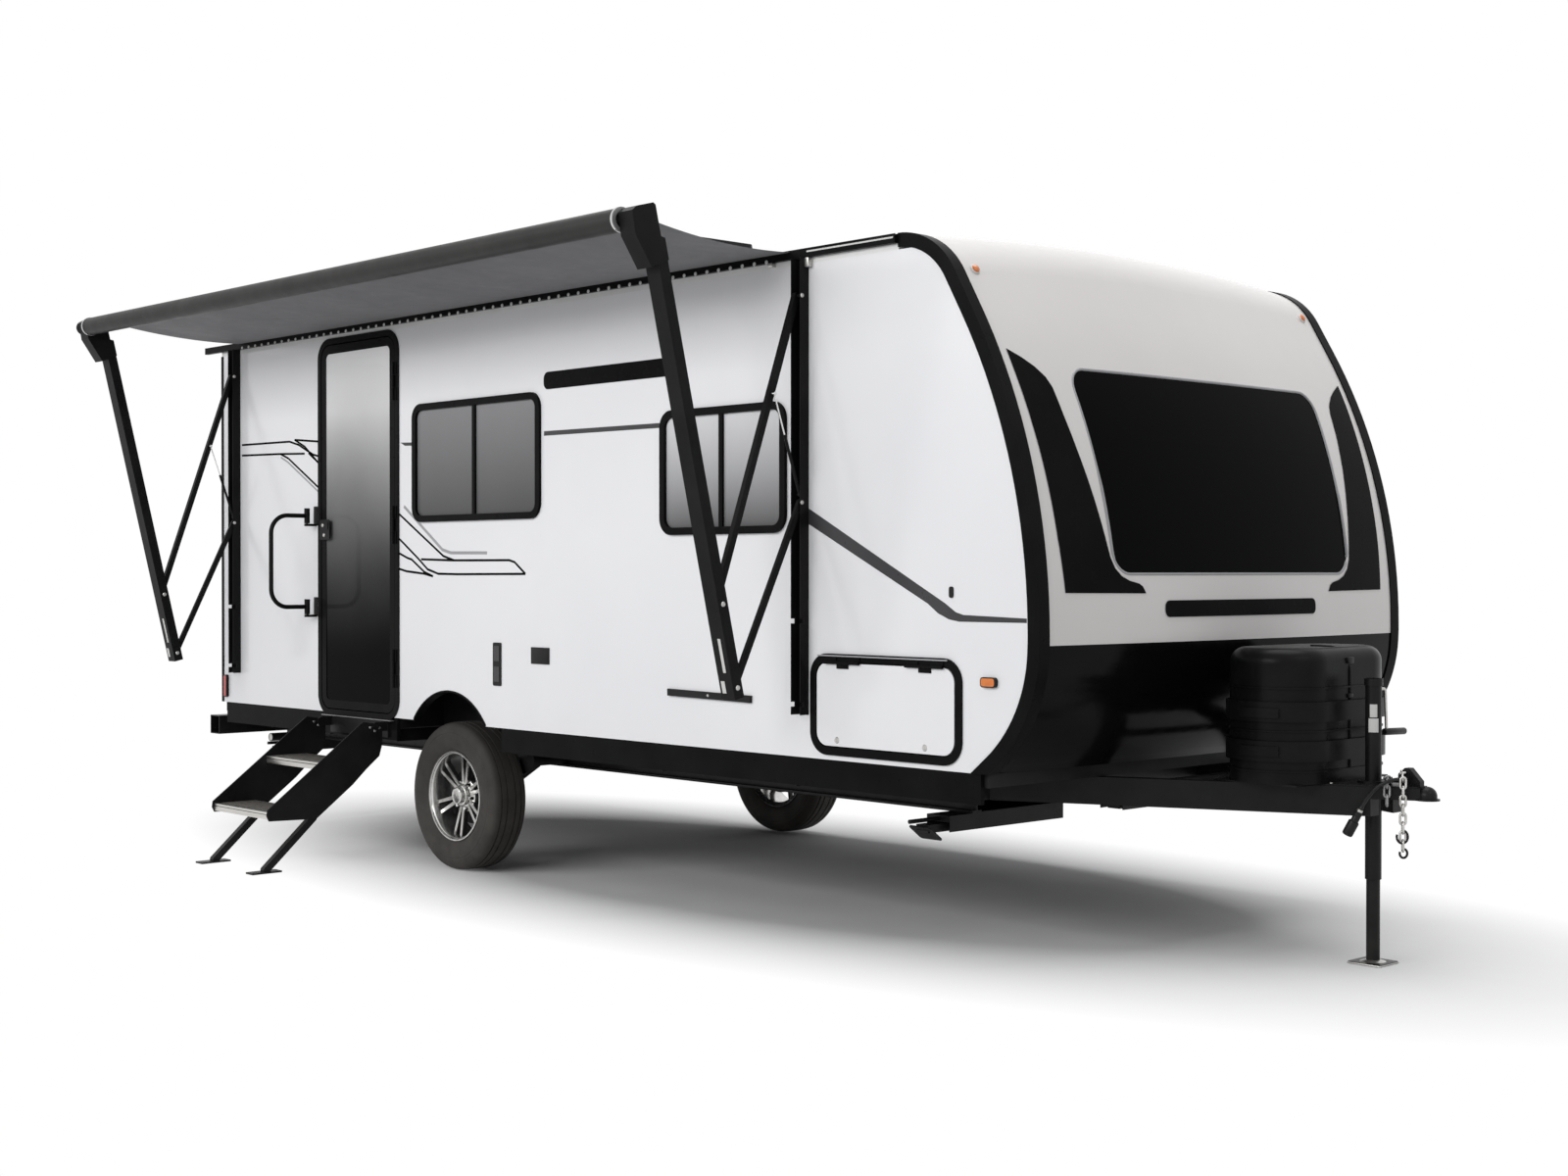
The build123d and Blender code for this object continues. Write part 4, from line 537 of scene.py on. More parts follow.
# ---------------------------------------------------------------- tow cord and its plug
cord_points = [
    (-0.132, -0.016, 0.046),
    (-0.092, -0.016, 0.046),
    (-0.062, -0.046, 0.055),
    (-0.060, -0.088, 0.062),
    (-0.088, -0.119, 0.053),
    (-0.120, -0.127, 0.032),
    (-0.146, -0.131, 0.003),
    (-0.163, -0.134, -0.022),
    (-0.176, -0.138, -0.048),
]
cord_radius = 0.0065


def cord_curve(name, points, radius):
    curve = bpy.data.curves.new(name, "CURVE")
    curve.dimensions = "3D"
    line = curve.splines.new("NURBS")
    line.points.add(len(points) - 1)
    for point, place in zip(line.points, points):
        point.co = (*place, 1)
    line.order_u = 3
    line.use_endpoint_u = True
    line.resolution_u = 12
    curve.bevel_depth = radius
    curve.bevel_resolution = 5
    curve.use_fill_caps = True
    piece = bpy.data.objects.new(name, curve)
    bpy.context.scene.collection.objects.link(piece)
    return piece


tow_cable = cord_curve("tow_cable", cord_points, cord_radius)
tow_cable.data.materials.append(cable_sheath)
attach(tow_cable, "trailer")
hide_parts("tow_cord")

cord_end = Vector(cord_points[-1])
cord_along = (cord_end - Vector(cord_points[-2])).normalized()


def lathe(outline, place, along, steps=48):
    """Spins an outline of (distance along, radius) about a line."""
    shape = bmesh.new()
    points = [shape.verts.new((radius, 0, distance)) for distance, radius in outline]
    edges = [shape.edges.new(pair) for pair in zip(points, points[1:])]
    bmesh.ops.spin(
        shape, geom=points + edges, axis=(0, 0, 1), cent=(0, 0, 0), angle=2 * pi, steps=steps, use_merge=True
    )
    bmesh.ops.remove_doubles(shape, verts=shape.verts, dist=1e-6)
    turn = Vector(along).to_track_quat("Z", "Y").to_matrix().to_4x4()
    bmesh.ops.transform(shape, matrix=Matrix.Translation(place) @ turn, verts=shape.verts)
    return shape


plug_outline = [
    (-0.012, 0.0066),
    (-0.010, 0.0078),
    (0.0, 0.0088),
    (0.001, 0.0105),
    (0.0125, 0.0105),
    (0.013, 0.0135),
    (0.017, 0.0140),
    (0.0195, 0.0128),
    (0.0215, 0.0140),
    (0.026, 0.0140),
    (0.028, 0.0128),
    (0.030, 0.0140),
    (0.0495, 0.0140),
    (0.0515, 0.0180),
    (0.055, 0.0190),
    (0.098, 0.0190),
    (0.1035, 0.0178),
    (0.105, 0.0160),
    (0.105, 0.0150),
    (0.085, 0.0145),
    (0.085, 0.0),
]
tow_connector = finish_piece(
    "tow_connector", lathe(plug_outline, cord_end, cord_along, 40), "trailer", plug_moulding
)
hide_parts("tow_plug")
plug_band = finish_piece(
    "plug_band",
    lathe([(0.0022, 0.0104), (0.0024, 0.0109), (0.0112, 0.0109), (0.0114, 0.0104)], cord_end, cord_along, 40),
    "trailer",
    zinc_plate,
)

# ---------------------------------------------------------------- awning cloth
rail_edge = Vector((0, -1.1685, 1.9885))
roll_edge = Vector((0, -1.978, 2.0615))
cloth_rear = -6.267
cloth_front = -1.993
cloth_sag = 0.024
cloth_thickness = 0.0012
ripple_height = 0.0035
ripple_angle = 55  # radians of waves along the cloth
end_share = 0.08  # of the length at each end, where the waves grow


def awning_weave():
    material, tree, shader, place = start_finish("awning_weave")
    threads = place_group(tree, weave_group, place, Threads=420.0)
    tone = place_group(
        tree, mottle_group, place, Base=(0.135, 0.135, 0.142), Second=(0.105, 0.105, 0.112), Scale=1.2,
        Low_gloss=0.75, High_gloss=0.6,
    )
    dark = mix_colour(tree, threads.outputs["Mask"], tone.outputs["Color"], (0.075, 0.075, 0.08))
    tree.links.new(dark, shader.inputs["Base Color"])
    tree.links.new(tone.outputs["Roughness"], shader.inputs["Roughness"])
    shader.inputs["Sheen Weight"].default_value = 0.15
    add_bump(tree, shader, threads.outputs["Height"], 0.25, 0.0004)
    return material


cloth_finish = awning_weave()
cloth = bmesh.new()
bmesh.ops.create_grid(cloth, x_segments=96, y_segments=20, size=0.5)
for corner in cloth.verts:
    along = corner.co.x + 0.5
    out = corner.co.y + 0.5
    place = rail_edge.lerp(roll_edge, out)
    end = min(along, 1 - along)
    bow = 4 * out * (1 - out)
    sag = cloth_sag * bow
    growth = (1 + 3 * max(0, end_share - end) / end_share) / 2
    ripple = ripple_height * sin(along * ripple_angle) * bow * growth
    corner.co = Vector((cloth_rear + (cloth_front - cloth_rear) * along, place.y, place.z - sag + ripple))
for face in cloth.faces:
    face.smooth = True
bmesh.ops.recalc_face_normals(cloth, faces=cloth.faces)
bmesh.ops.solidify(cloth, geom=cloth.faces, thickness=cloth_thickness)
awning_sheet = finish_piece("awning_sheet", cloth, "trailer", cloth_finish)
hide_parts("awning_fabric")
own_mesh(awning_sheet)


# ---------------------------------------------------------------- shapes that the fittings share
def block(shape, low, high, bevel=0.0):
    """A box between two corners, its edges rounded by the bevel."""
    low, high = Vector(low), Vector(high)
    size = high - low
    made = bmesh.ops.create_cube(
        shape, size=1.0, matrix=Matrix.Translation((low + high) / 2) @ Matrix.Diagonal((*size, 1))
    )["verts"]
    if bevel:
        edges = list({edge for corner in made for edge in corner.link_edges})
        bmesh.ops.bevel(shape, geom=edges, offset=bevel, segments=2, profile=0.5, affect="EDGES", material=-1)


def stud(shape, place, along, radius, height):
    """A low round head standing on a surface."""
    along = Vector(along).normalized()
    turn = along.to_track_quat("Z", "Y").to_matrix().to_4x4()
    matrix = Matrix.Translation(Vector(place) + along * height / 2) @ turn
    bmesh.ops.create_cone(
        shape, cap_ends=True, segments=24, radius1=radius, radius2=radius * 0.75, depth=height, matrix=matrix
    )


def prism(shape, near, far):
    """Joins two matching rings of points into a closed solid."""
    near = [shape.verts.new(point) for point in near]
    far = [shape.verts.new(point) for point in far]
    shape.faces.new(near)
    shape.faces.new(far[::-1])
    for index, corner in enumerate(near):
        before = index - 1
        shape.faces.new((near[before], corner, far[index], far[before]))


def wall_prism(shape, outline, inner, outer):
    """Fills an outline of (x, z) between two places along y."""
    prism(shape, [(x, inner, z) for x, z in outline], [(x, outer, z) for x, z in outline])


def rounded(low, high, radius, steps=6):
    """Outline of a rectangle with round corners between two opposite corners."""
    points = []
    for turn, (right, upper) in enumerate(((True, True), (False, True), (False, False), (True, False))):
        across = high[0] - radius if right else low[0] + radius
        up = high[1] - radius if upper else low[1] + radius
        for step in range(steps + 1):
            angle = pi / 2 * (turn + step / steps)
            points.append((across + radius * cos(angle), up + radius * sin(angle)))
    return points


def ribbon(points, width):
    """Outline of a stripe of one width along a line of flat points, with mitred turns."""
    line = [Vector(point) for point in points]
    left, right = [], []
    for index, here in enumerate(line):
        ways = [(here - before).normalized() for before in line[max(index - 1, 0) : index]]
        ways += [(after - here).normalized() for after in line[index + 1 : index + 2]]
        normals = [Vector((-way.y, way.x)) for way in ways]
        normal = sum(normals, Vector((0, 0))).normalized()
        reach = normal * (width / 2 / max(normal.dot(normals[0]), 0.5))
        left.append(here + reach)
        right.append(here - reach)
    return [tuple(point) for point in left + right[::-1]]


def tube(shape, points, radius, sides=12, closed=False):
    """Sweeps a circle along a line of points."""
    points = [Vector(point) for point in points]
    last = len(points) - 1
    rings, side = [], None
    for index, point in enumerate(points):
        before = points[index - 1] if closed or index else point
        after = points[(index + 1) % (last + 1)] if closed or index < last else point
        way = (after - before).normalized()
        side = side or way.orthogonal()
        side = (side - way * side.dot(way)).normalized()
        up = way.cross(side)
        angles = [2 * pi * step / sides for step in range(sides)]
        rings.append([shape.verts.new(point + radius * (side * cos(a) + up * sin(a))) for a in angles])
    pairs = list(zip(rings, rings[1:]))
    if closed:
        pairs.append((rings[-1], rings[0]))
    else:
        shape.faces.new(rings[0][::-1])
        shape.faces.new(rings[-1])
    for first, second in pairs:
        for step in range(sides):
            after = (step + 1) % sides
            shape.faces.new((first[step], first[after], second[after], second[step]))


def bent_path(points, radius, steps=6):
    """A line of points with its inner corners rounded."""
    path = [Vector(points[0])]
    for before, here, after in zip(points, points[1:], points[2:]):
        here = Vector(here)
        start = here + (Vector(before) - here).normalized() * radius
        end = here + (Vector(after) - here).normalized() * radius
        for step in range(steps + 1):
            share = step / steps
            path.append(start.lerp(here, share).lerp(here.lerp(end, share), share))
    return path + [Vector(points[-1])]


def absorb(shape, other):
    """Moves one shape's geometry into another."""
    spare = bpy.data.meshes.new("spare")
    other.to_mesh(spare)
    other.free()
    shape.from_mesh(spare)
    bpy.data.meshes.remove(spare)


def mirrored(points):
    return [(-first, second) for first, second in points][::-1]


# ---------------------------------------------------------------- wheels
tyre_inset = 0.027  # of the tyre's outer side from the wall
tyre_half_width = 0.0975
wheel_middle = half_width - tyre_inset - tyre_half_width
tyre_section = [
    (-0.066, 0.2085), (-0.079, 0.2115), (-0.0868, 0.22), (-0.0936, 0.24), (-0.0971, 0.266), (-0.0974, 0.288),
    (-0.0960, 0.2905), (-0.0958, 0.2945), (-0.0966, 0.297), (-0.0945, 0.312), (-0.0875, 0.3285),
    (-0.079, 0.3375), (-0.069, 0.3415), (-0.0575, 0.3432), (-0.0565, 0.3372), (-0.0505, 0.3374),
    (-0.0495, 0.3438), (-0.0265, 0.3446), (-0.0255, 0.3380), (-0.0195, 0.3382), (-0.0185, 0.3449),
]
tyre_outline = tyre_section + mirrored(tyre_section) + tyre_section[:1]
lip_outline = [
    (0.0852, 0.2085), (0.0854, 0.2045), (0.0842, 0.2015), (0.0815, 0.2000), (0.0770, 0.1990),
    (0.0735, 0.1955), (0.0700, 0.1940), (0.0330, 0.1905), (-0.0700, 0.1860), (-0.0800, 0.2000),
    (-0.0852, 0.2070), (-0.0840, 0.2098), (0.0835, 0.2098), (0.0852, 0.2085),
]
cap_outline = [
    (0.005, 0.0480), (0.042, 0.0470), (0.046, 0.0455), (0.047, 0.0430), (0.0475, 0.0405), (0.066, 0.0390),
    (0.070, 0.0370), (0.0715, 0.0335), (0.0700, 0.0300), (0.0702, 0.0),
]
drum_outline = [(-0.055, 0.0), (-0.055, 0.135), (-0.012, 0.135), (-0.008, 0.128), (-0.008, 0.0)]
plate_outline = [(0.004, 0.0), (0.004, 0.078), (0.018, 0.078), (0.024, 0.066), (0.024, 0.0)]
spoke_pairs = 6
spoke_turn = 0.35  # of the first pair, as a share of the space between pairs
spoke_root, spoke_tip = 0.056, 0.1915  # from the wheel's middle
spoke_gap = 0.010  # from a pair's middle line to each bar, at the root
spoke_lean = 0.115  # how much that gap widens for each metre out
spoke_rise = 0.012  # of the tip over the root
nut_ring = 0.0635


def spoke(shape, turn, lean, level, half_root, half_tip, depth):
    """One thin bar from the hub to the barrel, leaning away from its pair's middle line."""
    corners = []
    for reach, half in ((spoke_root, half_root), (spoke_tip, half_tip)):
        offset = lean * (spoke_gap + (reach - spoke_root) * spoke_lean)
        rise = spoke_rise * (reach - spoke_root) / (spoke_tip - spoke_root)
        for edge in (-half, half):
            corners.append((reach, offset + edge, level + rise))
    rings = []
    for drop in (0, depth):
        ring = []
        for reach, offset, height in (corners[0], corners[1], corners[3], corners[2]):
            x = reach * cos(turn) - offset * sin(turn)
            z = reach * sin(turn) + offset * cos(turn)
            ring.append((x, z, height - drop))
        rings.append(ring)
    prism(shape, *rings)


def spoke_set(place, level, half_root, half_tip, depth):
    """Every bar of a wheel, set at the wheel's place."""
    shape = bmesh.new()
    for pair in range(spoke_pairs):
        turn = 2 * pi * (pair + spoke_turn) / spoke_pairs
        for lean in (-1, 1):
            spoke(shape, turn, lean, level, half_root, half_tip, depth)
    bmesh.ops.transform(shape, matrix=place, verts=shape.verts)
    return shape


def road_wheel(side, way):
    body = f"wheel_{side}"
    centre = Vector((axle.x, way * wheel_middle, axle.z))
    outward = Vector((0, way, 0))
    place = Matrix.Translation(centre) @ outward.to_track_quat("Z", "Y").to_matrix().to_4x4()
    tyre = lathe(tyre_outline, centre, outward, 128)
    tyre_piece = finish_piece(f"road_tyre_{side}", tyre, body, tyre_rubber, 25)
    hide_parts(f"tyre_{side}")
    rim = lathe(lip_outline, centre, outward, 128)
    absorb(rim, lathe(cap_outline, centre, outward, 64))
    absorb(rim, lathe(plate_outline, centre, outward, 64))
    absorb(rim, spoke_set(place, 0.031, 0.0088, 0.0072, 0.006))
    rim_piece = finish_piece(f"rim_face_{side}", rim, body, rim_machined, 30)
    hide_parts(f"rim_{side}")
    dark = lathe(drum_outline, centre, outward, 64)
    absorb(dark, spoke_set(place, 0.0248, 0.0092, 0.0076, 0.02))
    finish_piece(f"rim_pockets_{side}", dark, body, rim_pocket, 30)
    nuts = bmesh.new()
    for number in range(spoke_pairs):
        turn = 2 * pi * (number + spoke_turn + 0.5) / spoke_pairs
        stud(nuts, place @ Vector((nut_ring * cos(turn), nut_ring * sin(turn), 0.022)), outward, 0.0095, 0.02)
    finish_piece(f"wheel_nuts_{side}", nuts, body, rod_chrome, 30)


road_wheel("curbside", -1)
road_wheel("roadside", 1)

# ---------------------------------------------------------------- wheel arch edges
arch_x, arch_z, arch_r = axle.x + 0.022, ground + 0.4615, 0.370
arch_foot = 0.0785  # height at which the edges end
arch_steps = 48
arch_lip = (-0.0025, 0.008, 0.0, 0.0035)  # reach inwards and outwards, then its two faces from the wall
arch_lining = (-0.0025, -0.0005, -0.0375, 0.0035)
arch_edges = bmesh.new()
arch_start = asin((arch_foot - arch_z) / arch_r)
for side in (-1, 1):
    for step in range(arch_steps):
        turns = [arch_start + (pi - 2 * arch_start) * (step + end) / arch_steps for end in (0, 1)]
        for inner, outer, near, far in (arch_lip, arch_lining):
            corners = ((inner, turns[0]), (outer, turns[0]), (outer, turns[1]), (inner, turns[1]))
            ring = [
                (arch_x + (arch_r + reach) * cos(turn), arch_z + (arch_r + reach) * sin(turn))
                for reach, turn in corners
            ]
            wall_prism(arch_edges, ring, side * (half_width + near), side * (half_width + far))
finish_piece("wheel_arch_edges", arch_edges, "trailer", trim_satin, 30)

# ---------------------------------------------------------------- stripes on the entry side
stripe_width = 0.0105
stripe_lines = [
    [(-4.742, 0.867), (-4.673, 0.845), (-4.637, 0.838), (-4.527, 0.778), (-4.455, 0.758)],
    [(-4.742, 0.793), (-4.682, 0.782), (-4.527, 0.77), (-4.455, 0.758)],
    [(-4.742, 0.936), (-4.582, 0.843), (-4.5, 0.791), (-4.411, 0.77), (-4.253, 0.768), (-3.722, 0.77)],
    [(-4.742, 1.054), (-4.367, 0.852), (-4.28, 0.832), (-3.843, 0.831), (-3.803, 0.822), (-3.722, 0.77)],
    [(-4.555, 0.838), (-4.28, 0.832)],
    [(-6.279, 1.454), (-5.779, 1.449), (-5.69, 1.429), (-5.541, 1.372), (-5.486, 1.362)],
    [(-5.728, 1.456), (-5.486, 1.436)],
    [(-6.279, 1.398), (-5.894, 1.39), (-5.627, 1.381)],
    [(-5.728, 1.456), (-5.627, 1.417), (-5.486, 1.325)],
    [(-5.868, 1.388), (-5.791, 1.363), (-5.486, 1.202)],
    [(-5.59, 1.383), (-5.486, 1.326)],
]
low_shade = [(-4.702, 1.091), (-4.376, 0.882), (-4.306, 0.867), (-4.016, 0.865)]
high_shade = [(-5.868, 1.372), (-5.8, 1.346), (-5.486, 1.18)]
door_band = [(-4.731, 1.396), (-4.693, 1.379), (-4.629, 1.377), (-4.629, 1.392)]
window_band = [(-3.583, 1.383), (-2.791, 1.377)]
nose_band = [
    (-1.916, 1.021), (-1.916, 0.962), (-1.3, 0.667), (-1.25, 0.633), (-1.2, 0.613), (-1.15, 0.605),
    (-0.842, 0.606), (-0.842, 0.621), (-1.13, 0.629), (-1.165, 0.638), (-1.215, 0.668),
]
wall_face = curb_wall - 0.0001
graphic_face = curb_wall - 0.0008


def entry_side_graphic(name, outlines, finish, outer=graphic_face):
    """Thin film on the entry side's wall, from outlines of (x, z)."""
    film = bmesh.new()
    for outline in outlines:
        wall_prism(film, outline, wall_face, outer)
    finish_piece(name, film, "trailer", finish)


entry_side_graphic("entry_side_stripes", [ribbon(line, stripe_width) for line in stripe_lines], graphic_black)
entry_side_graphic("entry_side_shades", [ribbon(low_shade, 0.014), ribbon(high_shade, 0.009)], grey_print_and_highlight)
entry_side_graphic("entry_side_bands", [door_band, ribbon(window_band, 0.02), nose_band], graphic_dark)
entry_side_graphic(
    "side_plate_blank", [rounded((-3.585, 1.574), (-2.7, 1.65), 0.03)], graphic_black, curb_wall - 0.0012
)


# ---------------------------------------------------------------- graphics on the front cap
def skin_of(name):
    mesh = nodes[name].data
    faces = [face.vertices for face in mesh.polygons]
    return BVHTree.FromPolygons([corner.co for corner in mesh.vertices], faces)


cap_skin = skin_of("front_cap_upper")
pane_skin = skin_of("windshield")


def front_of(skin, y, z):
    """A skin's outer face in front of (y, z), and the way that it faces there."""
    place, normal, _, _ = skin.ray_cast(Vector((1.0, y, z)), Vector((-1, 0, 0)))
    return place, normal


def cut(shape, place, normal, clear_outer=False):
    """Cuts a shape along a plane, and may take away what lies past it."""
    everything = shape.verts[:] + shape.edges[:] + shape.faces[:]
    bmesh.ops.bisect_plane(shape, geom=everything, plane_co=place, plane_no=normal, clear_outer=clear_outer)


def even_cuts(shape, places, space, axis):
    """Cuts a shape across one axis at even spaces, from the lowest of the places."""
    low = min(places)
    for step in range(1, int((max(places) - low) / space) + 1):
        cut(shape, axis * (low + space * step), axis)


def cap_graphic(name, outlines, proud):
    """Thin film on the cap: outlines of (y, z) cut fine enough to follow its curve."""
    film = bmesh.new()
    for outline in outlines:
        sheet = bmesh.new()
        sheet.faces.new([sheet.verts.new((0, y, z)) for y, z in outline])
        widths, heights = zip(*outline)
        even_cuts(sheet, heights, 0.02, Vector((0, 0, 1)))
        even_cuts(sheet, widths, 0.04, Vector((0, 1, 0)))
        for corner in sheet.verts:
            place, normal = front_of(cap_skin, corner.co.y, corner.co.z)
            corner.co = place + normal * proud
        absorb(film, sheet)
    bmesh.ops.recalc_face_normals(film, faces=film.faces)
    bmesh.ops.solidify(film, geom=film.faces, thickness=proud * 0.5)
    finish_piece(name, film, "trailer", graphic_black, 60)


flank = [
    (1.055, 1.556), (0.995, 1.528), (0.945, 1.498), (0.906, 1.462), (0.888, 1.425), (0.875, 1.33),
    (0.85, 1.2), (0.812, 1.03), (0.782, 0.89), (0.768, 0.83), (0.748, 0.792), (0.715, 0.764),
    (0.675, 0.748), (0.625, 0.738), (0.606, 0.728), (0.589, 0.703), (1.009, 0.707), (1.025, 0.9),
    (1.036, 1.12), (1.046, 1.32), (1.053, 1.47),
]
cap_graphic("front_flank_films", [flank, mirrored(flank)], 0.0018)
cap_graphic("front_plate_blank", [rounded((-0.484, 0.617), (0.484, 0.677), 0.024)], 0.0022)

# ---------------------------------------------------------------- lamps on the cap's brow
lamp_ring_outline = [(0.0, 0.0), (0.0, 0.0215), (0.004, 0.021), (0.006, 0.018), (0.006, 0.0)]
lamp_lens_outline = [(0.005, 0.0), (0.005, 0.016), (0.010, 0.015), (0.0135, 0.010), (0.0145, 0.0)]
lamp_rings, lamp_lenses = bmesh.new(), bmesh.new()
for side in (-1, 1):
    place, normal = front_of(cap_skin, side * 1.035, 1.85)
    absorb(lamp_rings, lathe(lamp_ring_outline, place, normal, 32))
    absorb(lamp_lenses, lathe(lamp_lens_outline, place, normal, 32))
finish_piece("brow_lamp_rings", lamp_rings, "trailer", pale_label_and_highlight)
finish_piece("brow_lamp_lenses", lamp_lenses, "trailer", amber_lens)

# ---------------------------------------------------------------- lamp lenses
lamp_face = 1.159  # outer face of the side lamps


def side_lenses(shape, low, high):
    """The same lens on both sides, a little proud of its lamp."""
    for side in (-1, 1):
        face = side * lamp_face
        wall_prism(shape, rounded(low, high, 0.008), face - side * 0.002, face + side * 0.0015)


lenses = bmesh.new()
side_lenses(lenses, (-1.036, 0.384), (-0.976, 0.412))
finish_piece("front_side_lenses", lenses, "trailer", amber_lens)
lenses = bmesh.new()
side_lenses(lenses, (-6.462, 0.110), (-6.434, 0.220))
for middle in (-0.975, 0.975):
    for low, high in ((0.285, 0.345), (0.352, 0.448), (0.455, 0.515)):
        block(lenses, (-6.5295, middle - 0.052, low), (-6.524, middle + 0.052, high), 0.002)
finish_piece("tail_lenses", lenses, "trailer", red_lens)

# ---------------------------------------------------------------- fittings on the entry side
wall_rail_face = curb_wall - 0.012
plate_face = curb_wall - 0.006
fittings = bmesh.new()
wall_prism(fittings, ribbon([(-2.731, 0.291), (-2.229, 0.284)], 0.028), curb_wall, wall_rail_face)
wall_prism(fittings, rounded((-1.194, 0.688), (-1.176, 0.728), 0.0085), curb_wall, plate_face)
block(fittings, (-3.674, curb_wall - 0.007, 0.375), (-3.544, curb_wall, 0.448), 0.002)
wall_prism(fittings, rounded((-3.964, 0.267), (-3.904, 0.461), 0.006), curb_wall, plate_face)
finish_piece("wall_fittings", fittings, "trailer", moulded_black)
outlets = bmesh.new()
for low in (0.285, 0.378):
    lid = rounded((-3.955, low), (-3.913, low + 0.068), 0.004)
    wall_prism(outlets, lid, plate_face - 0.0002, plate_face - 0.0018)
finish_piece("outlet_lids", outlets, "trailer", graphic_dark)
dots = bmesh.new()
stud(dots, (-2.48, wall_rail_face, 0.288), (0, -1, 0), 0.006, 0.002)
finish_piece("wall_studs", dots, "trailer", zinc_plate)

# ---------------------------------------------------------------- baggage doors
leaf_low, leaf_high = (-1.861, 0.131), (-1.168, 0.440)
leaf_width = leaf_high[0] - leaf_low[0]
leaf_middle = (leaf_low[0] + leaf_high[0]) / 2
leaf_corner = 0.052
leaf_thickness = 0.036
leaf_proud = 0.006  # of its face from the wall
knuckle_half = 0.03
knuckle_outline = [
    (-knuckle_half, 0.0042), (-knuckle_half, 0.0065), (knuckle_half, 0.0065), (knuckle_half, 0.0042),
    (-knuckle_half, 0.0042),
]
knuckle_height = 0.4425
latch_height = 0.153


def baggage_door(name, side):
    """A baggage door's leaf, with its hinge knuckles at the top and its latches near the bottom."""
    body = f"baggage_leaf_{name}"
    face = side * (half_width + leaf_proud)
    leaf = bmesh.new()
    wall_prism(leaf, rounded(leaf_low, leaf_high, leaf_corner, 8), face - side * leaf_thickness, face)
    leaf_piece = finish_piece(f"baggage_panel_{name}", leaf, body, body_white)
    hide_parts(f"baggage_door_{name}")
    knuckles = bmesh.new()
    for share in (-0.3, 0.3):
        middle = leaf_middle + share * leaf_width
        place = Vector((middle, side * (half_width + 0.015), knuckle_height))
        absorb(knuckles, lathe(knuckle_outline, place, (1, 0, 0), 24))
        inner, outer = sorted((face, face + side * 0.005))
        block(knuckles, (middle - knuckle_half, inner, 0.42), (middle + knuckle_half, outer, 0.438), 0.001)
    finish_piece(f"baggage_knuckles_{name}", knuckles, body, trim_satin)
    latches = bmesh.new()
    for x in (-1.754, -1.309):
        stud(latches, (x, face, latch_height), (0, side, 0), 0.0125, 0.004)
        stud(latches, (x, face + side * 0.004, latch_height), (0, side, 0), 0.006, 0.003)
    finish_piece(f"baggage_latches_{name}", latches, body, zinc_plate)


baggage_door("curbside", -1)
baggage_door("roadside", 1)
# Painted highlight: thin grey strips along the top of the baggage door frames stand in for light caught on
# their edges.
frame_highlights = bmesh.new()
for side in (-1, 1):
    line = rounded((-1.842, 0.4655), (-1.187, 0.4705), 0.002, 2)
    wall_prism(frame_highlights, line, side * 1.1664, side * 1.1672)
finish_piece("baggage_frame_painted_highlights", frame_highlights, "trailer", grey_print_and_highlight)

# ---------------------------------------------------------------- entry door
lock_back, lock_face, latch_face = -1.1663, -1.1705, -1.1735
lock = bmesh.new()
wall_prism(lock, rounded((-5.437, 0.94), (-5.345, 1.04), 0.012), lock_back, lock_face)
wall_prism(lock, rounded((-5.425, 0.99), (-5.357, 1.028), 0.008), lock_face, latch_face)
finish_piece("door_lock_plate", lock, "door_leaf", moulded_black)
lock_dots = bmesh.new()
stud(lock_dots, (-5.406, latch_face, 1.012), (0, -1, 0), 0.0095, 0.0025)
stud(lock_dots, (-5.398, lock_face, 0.963), (0, -1, 0), 0.0095, 0.0025)
finish_piece("door_lock_barrels", lock_dots, "door_leaf", zinc_plate)
threshold = bmesh.new()
block(threshold, (-5.43, -1.168, 0.0615), (-4.79, -1.146, 0.0655), 0.001)
finish_piece("door_threshold", threshold, "trailer", grey_plate_and_chain_shade)

# ---------------------------------------------------------------- awning fittings
arm_xs = (-6.323, -1.937)
light_count = 60
light_start, light_space = -6.235, 0.0697
roller_y, roller_z = -1.986, 2.016
lights = bmesh.new()
for number in range(light_count):
    stud(lights, (light_start + light_space * number, -1.167, 1.9665), (0, -1, 0.15), 0.0085, 0.003)
finish_piece("awning_light_strip", lights, "trailer", pale_label_and_highlight)
silver = bmesh.new()
for arm_x in arm_xs:
    for pivot_z in (1.818, 1.04):
        stud(silver, (arm_x + 0.026, -1.18, pivot_z), (1, 0, 0), 0.0085, 0.003)
block(silver, (-2.118, -1.1685, 1.945), (-2.092, -1.1455, 1.961), 0.002)
block(silver, (-1.9105, -1.17, 1.925), (-1.8885, -1.1455, 1.96), 0.002)
finish_piece("awning_wall_bolts", silver, "trailer", zinc_plate)
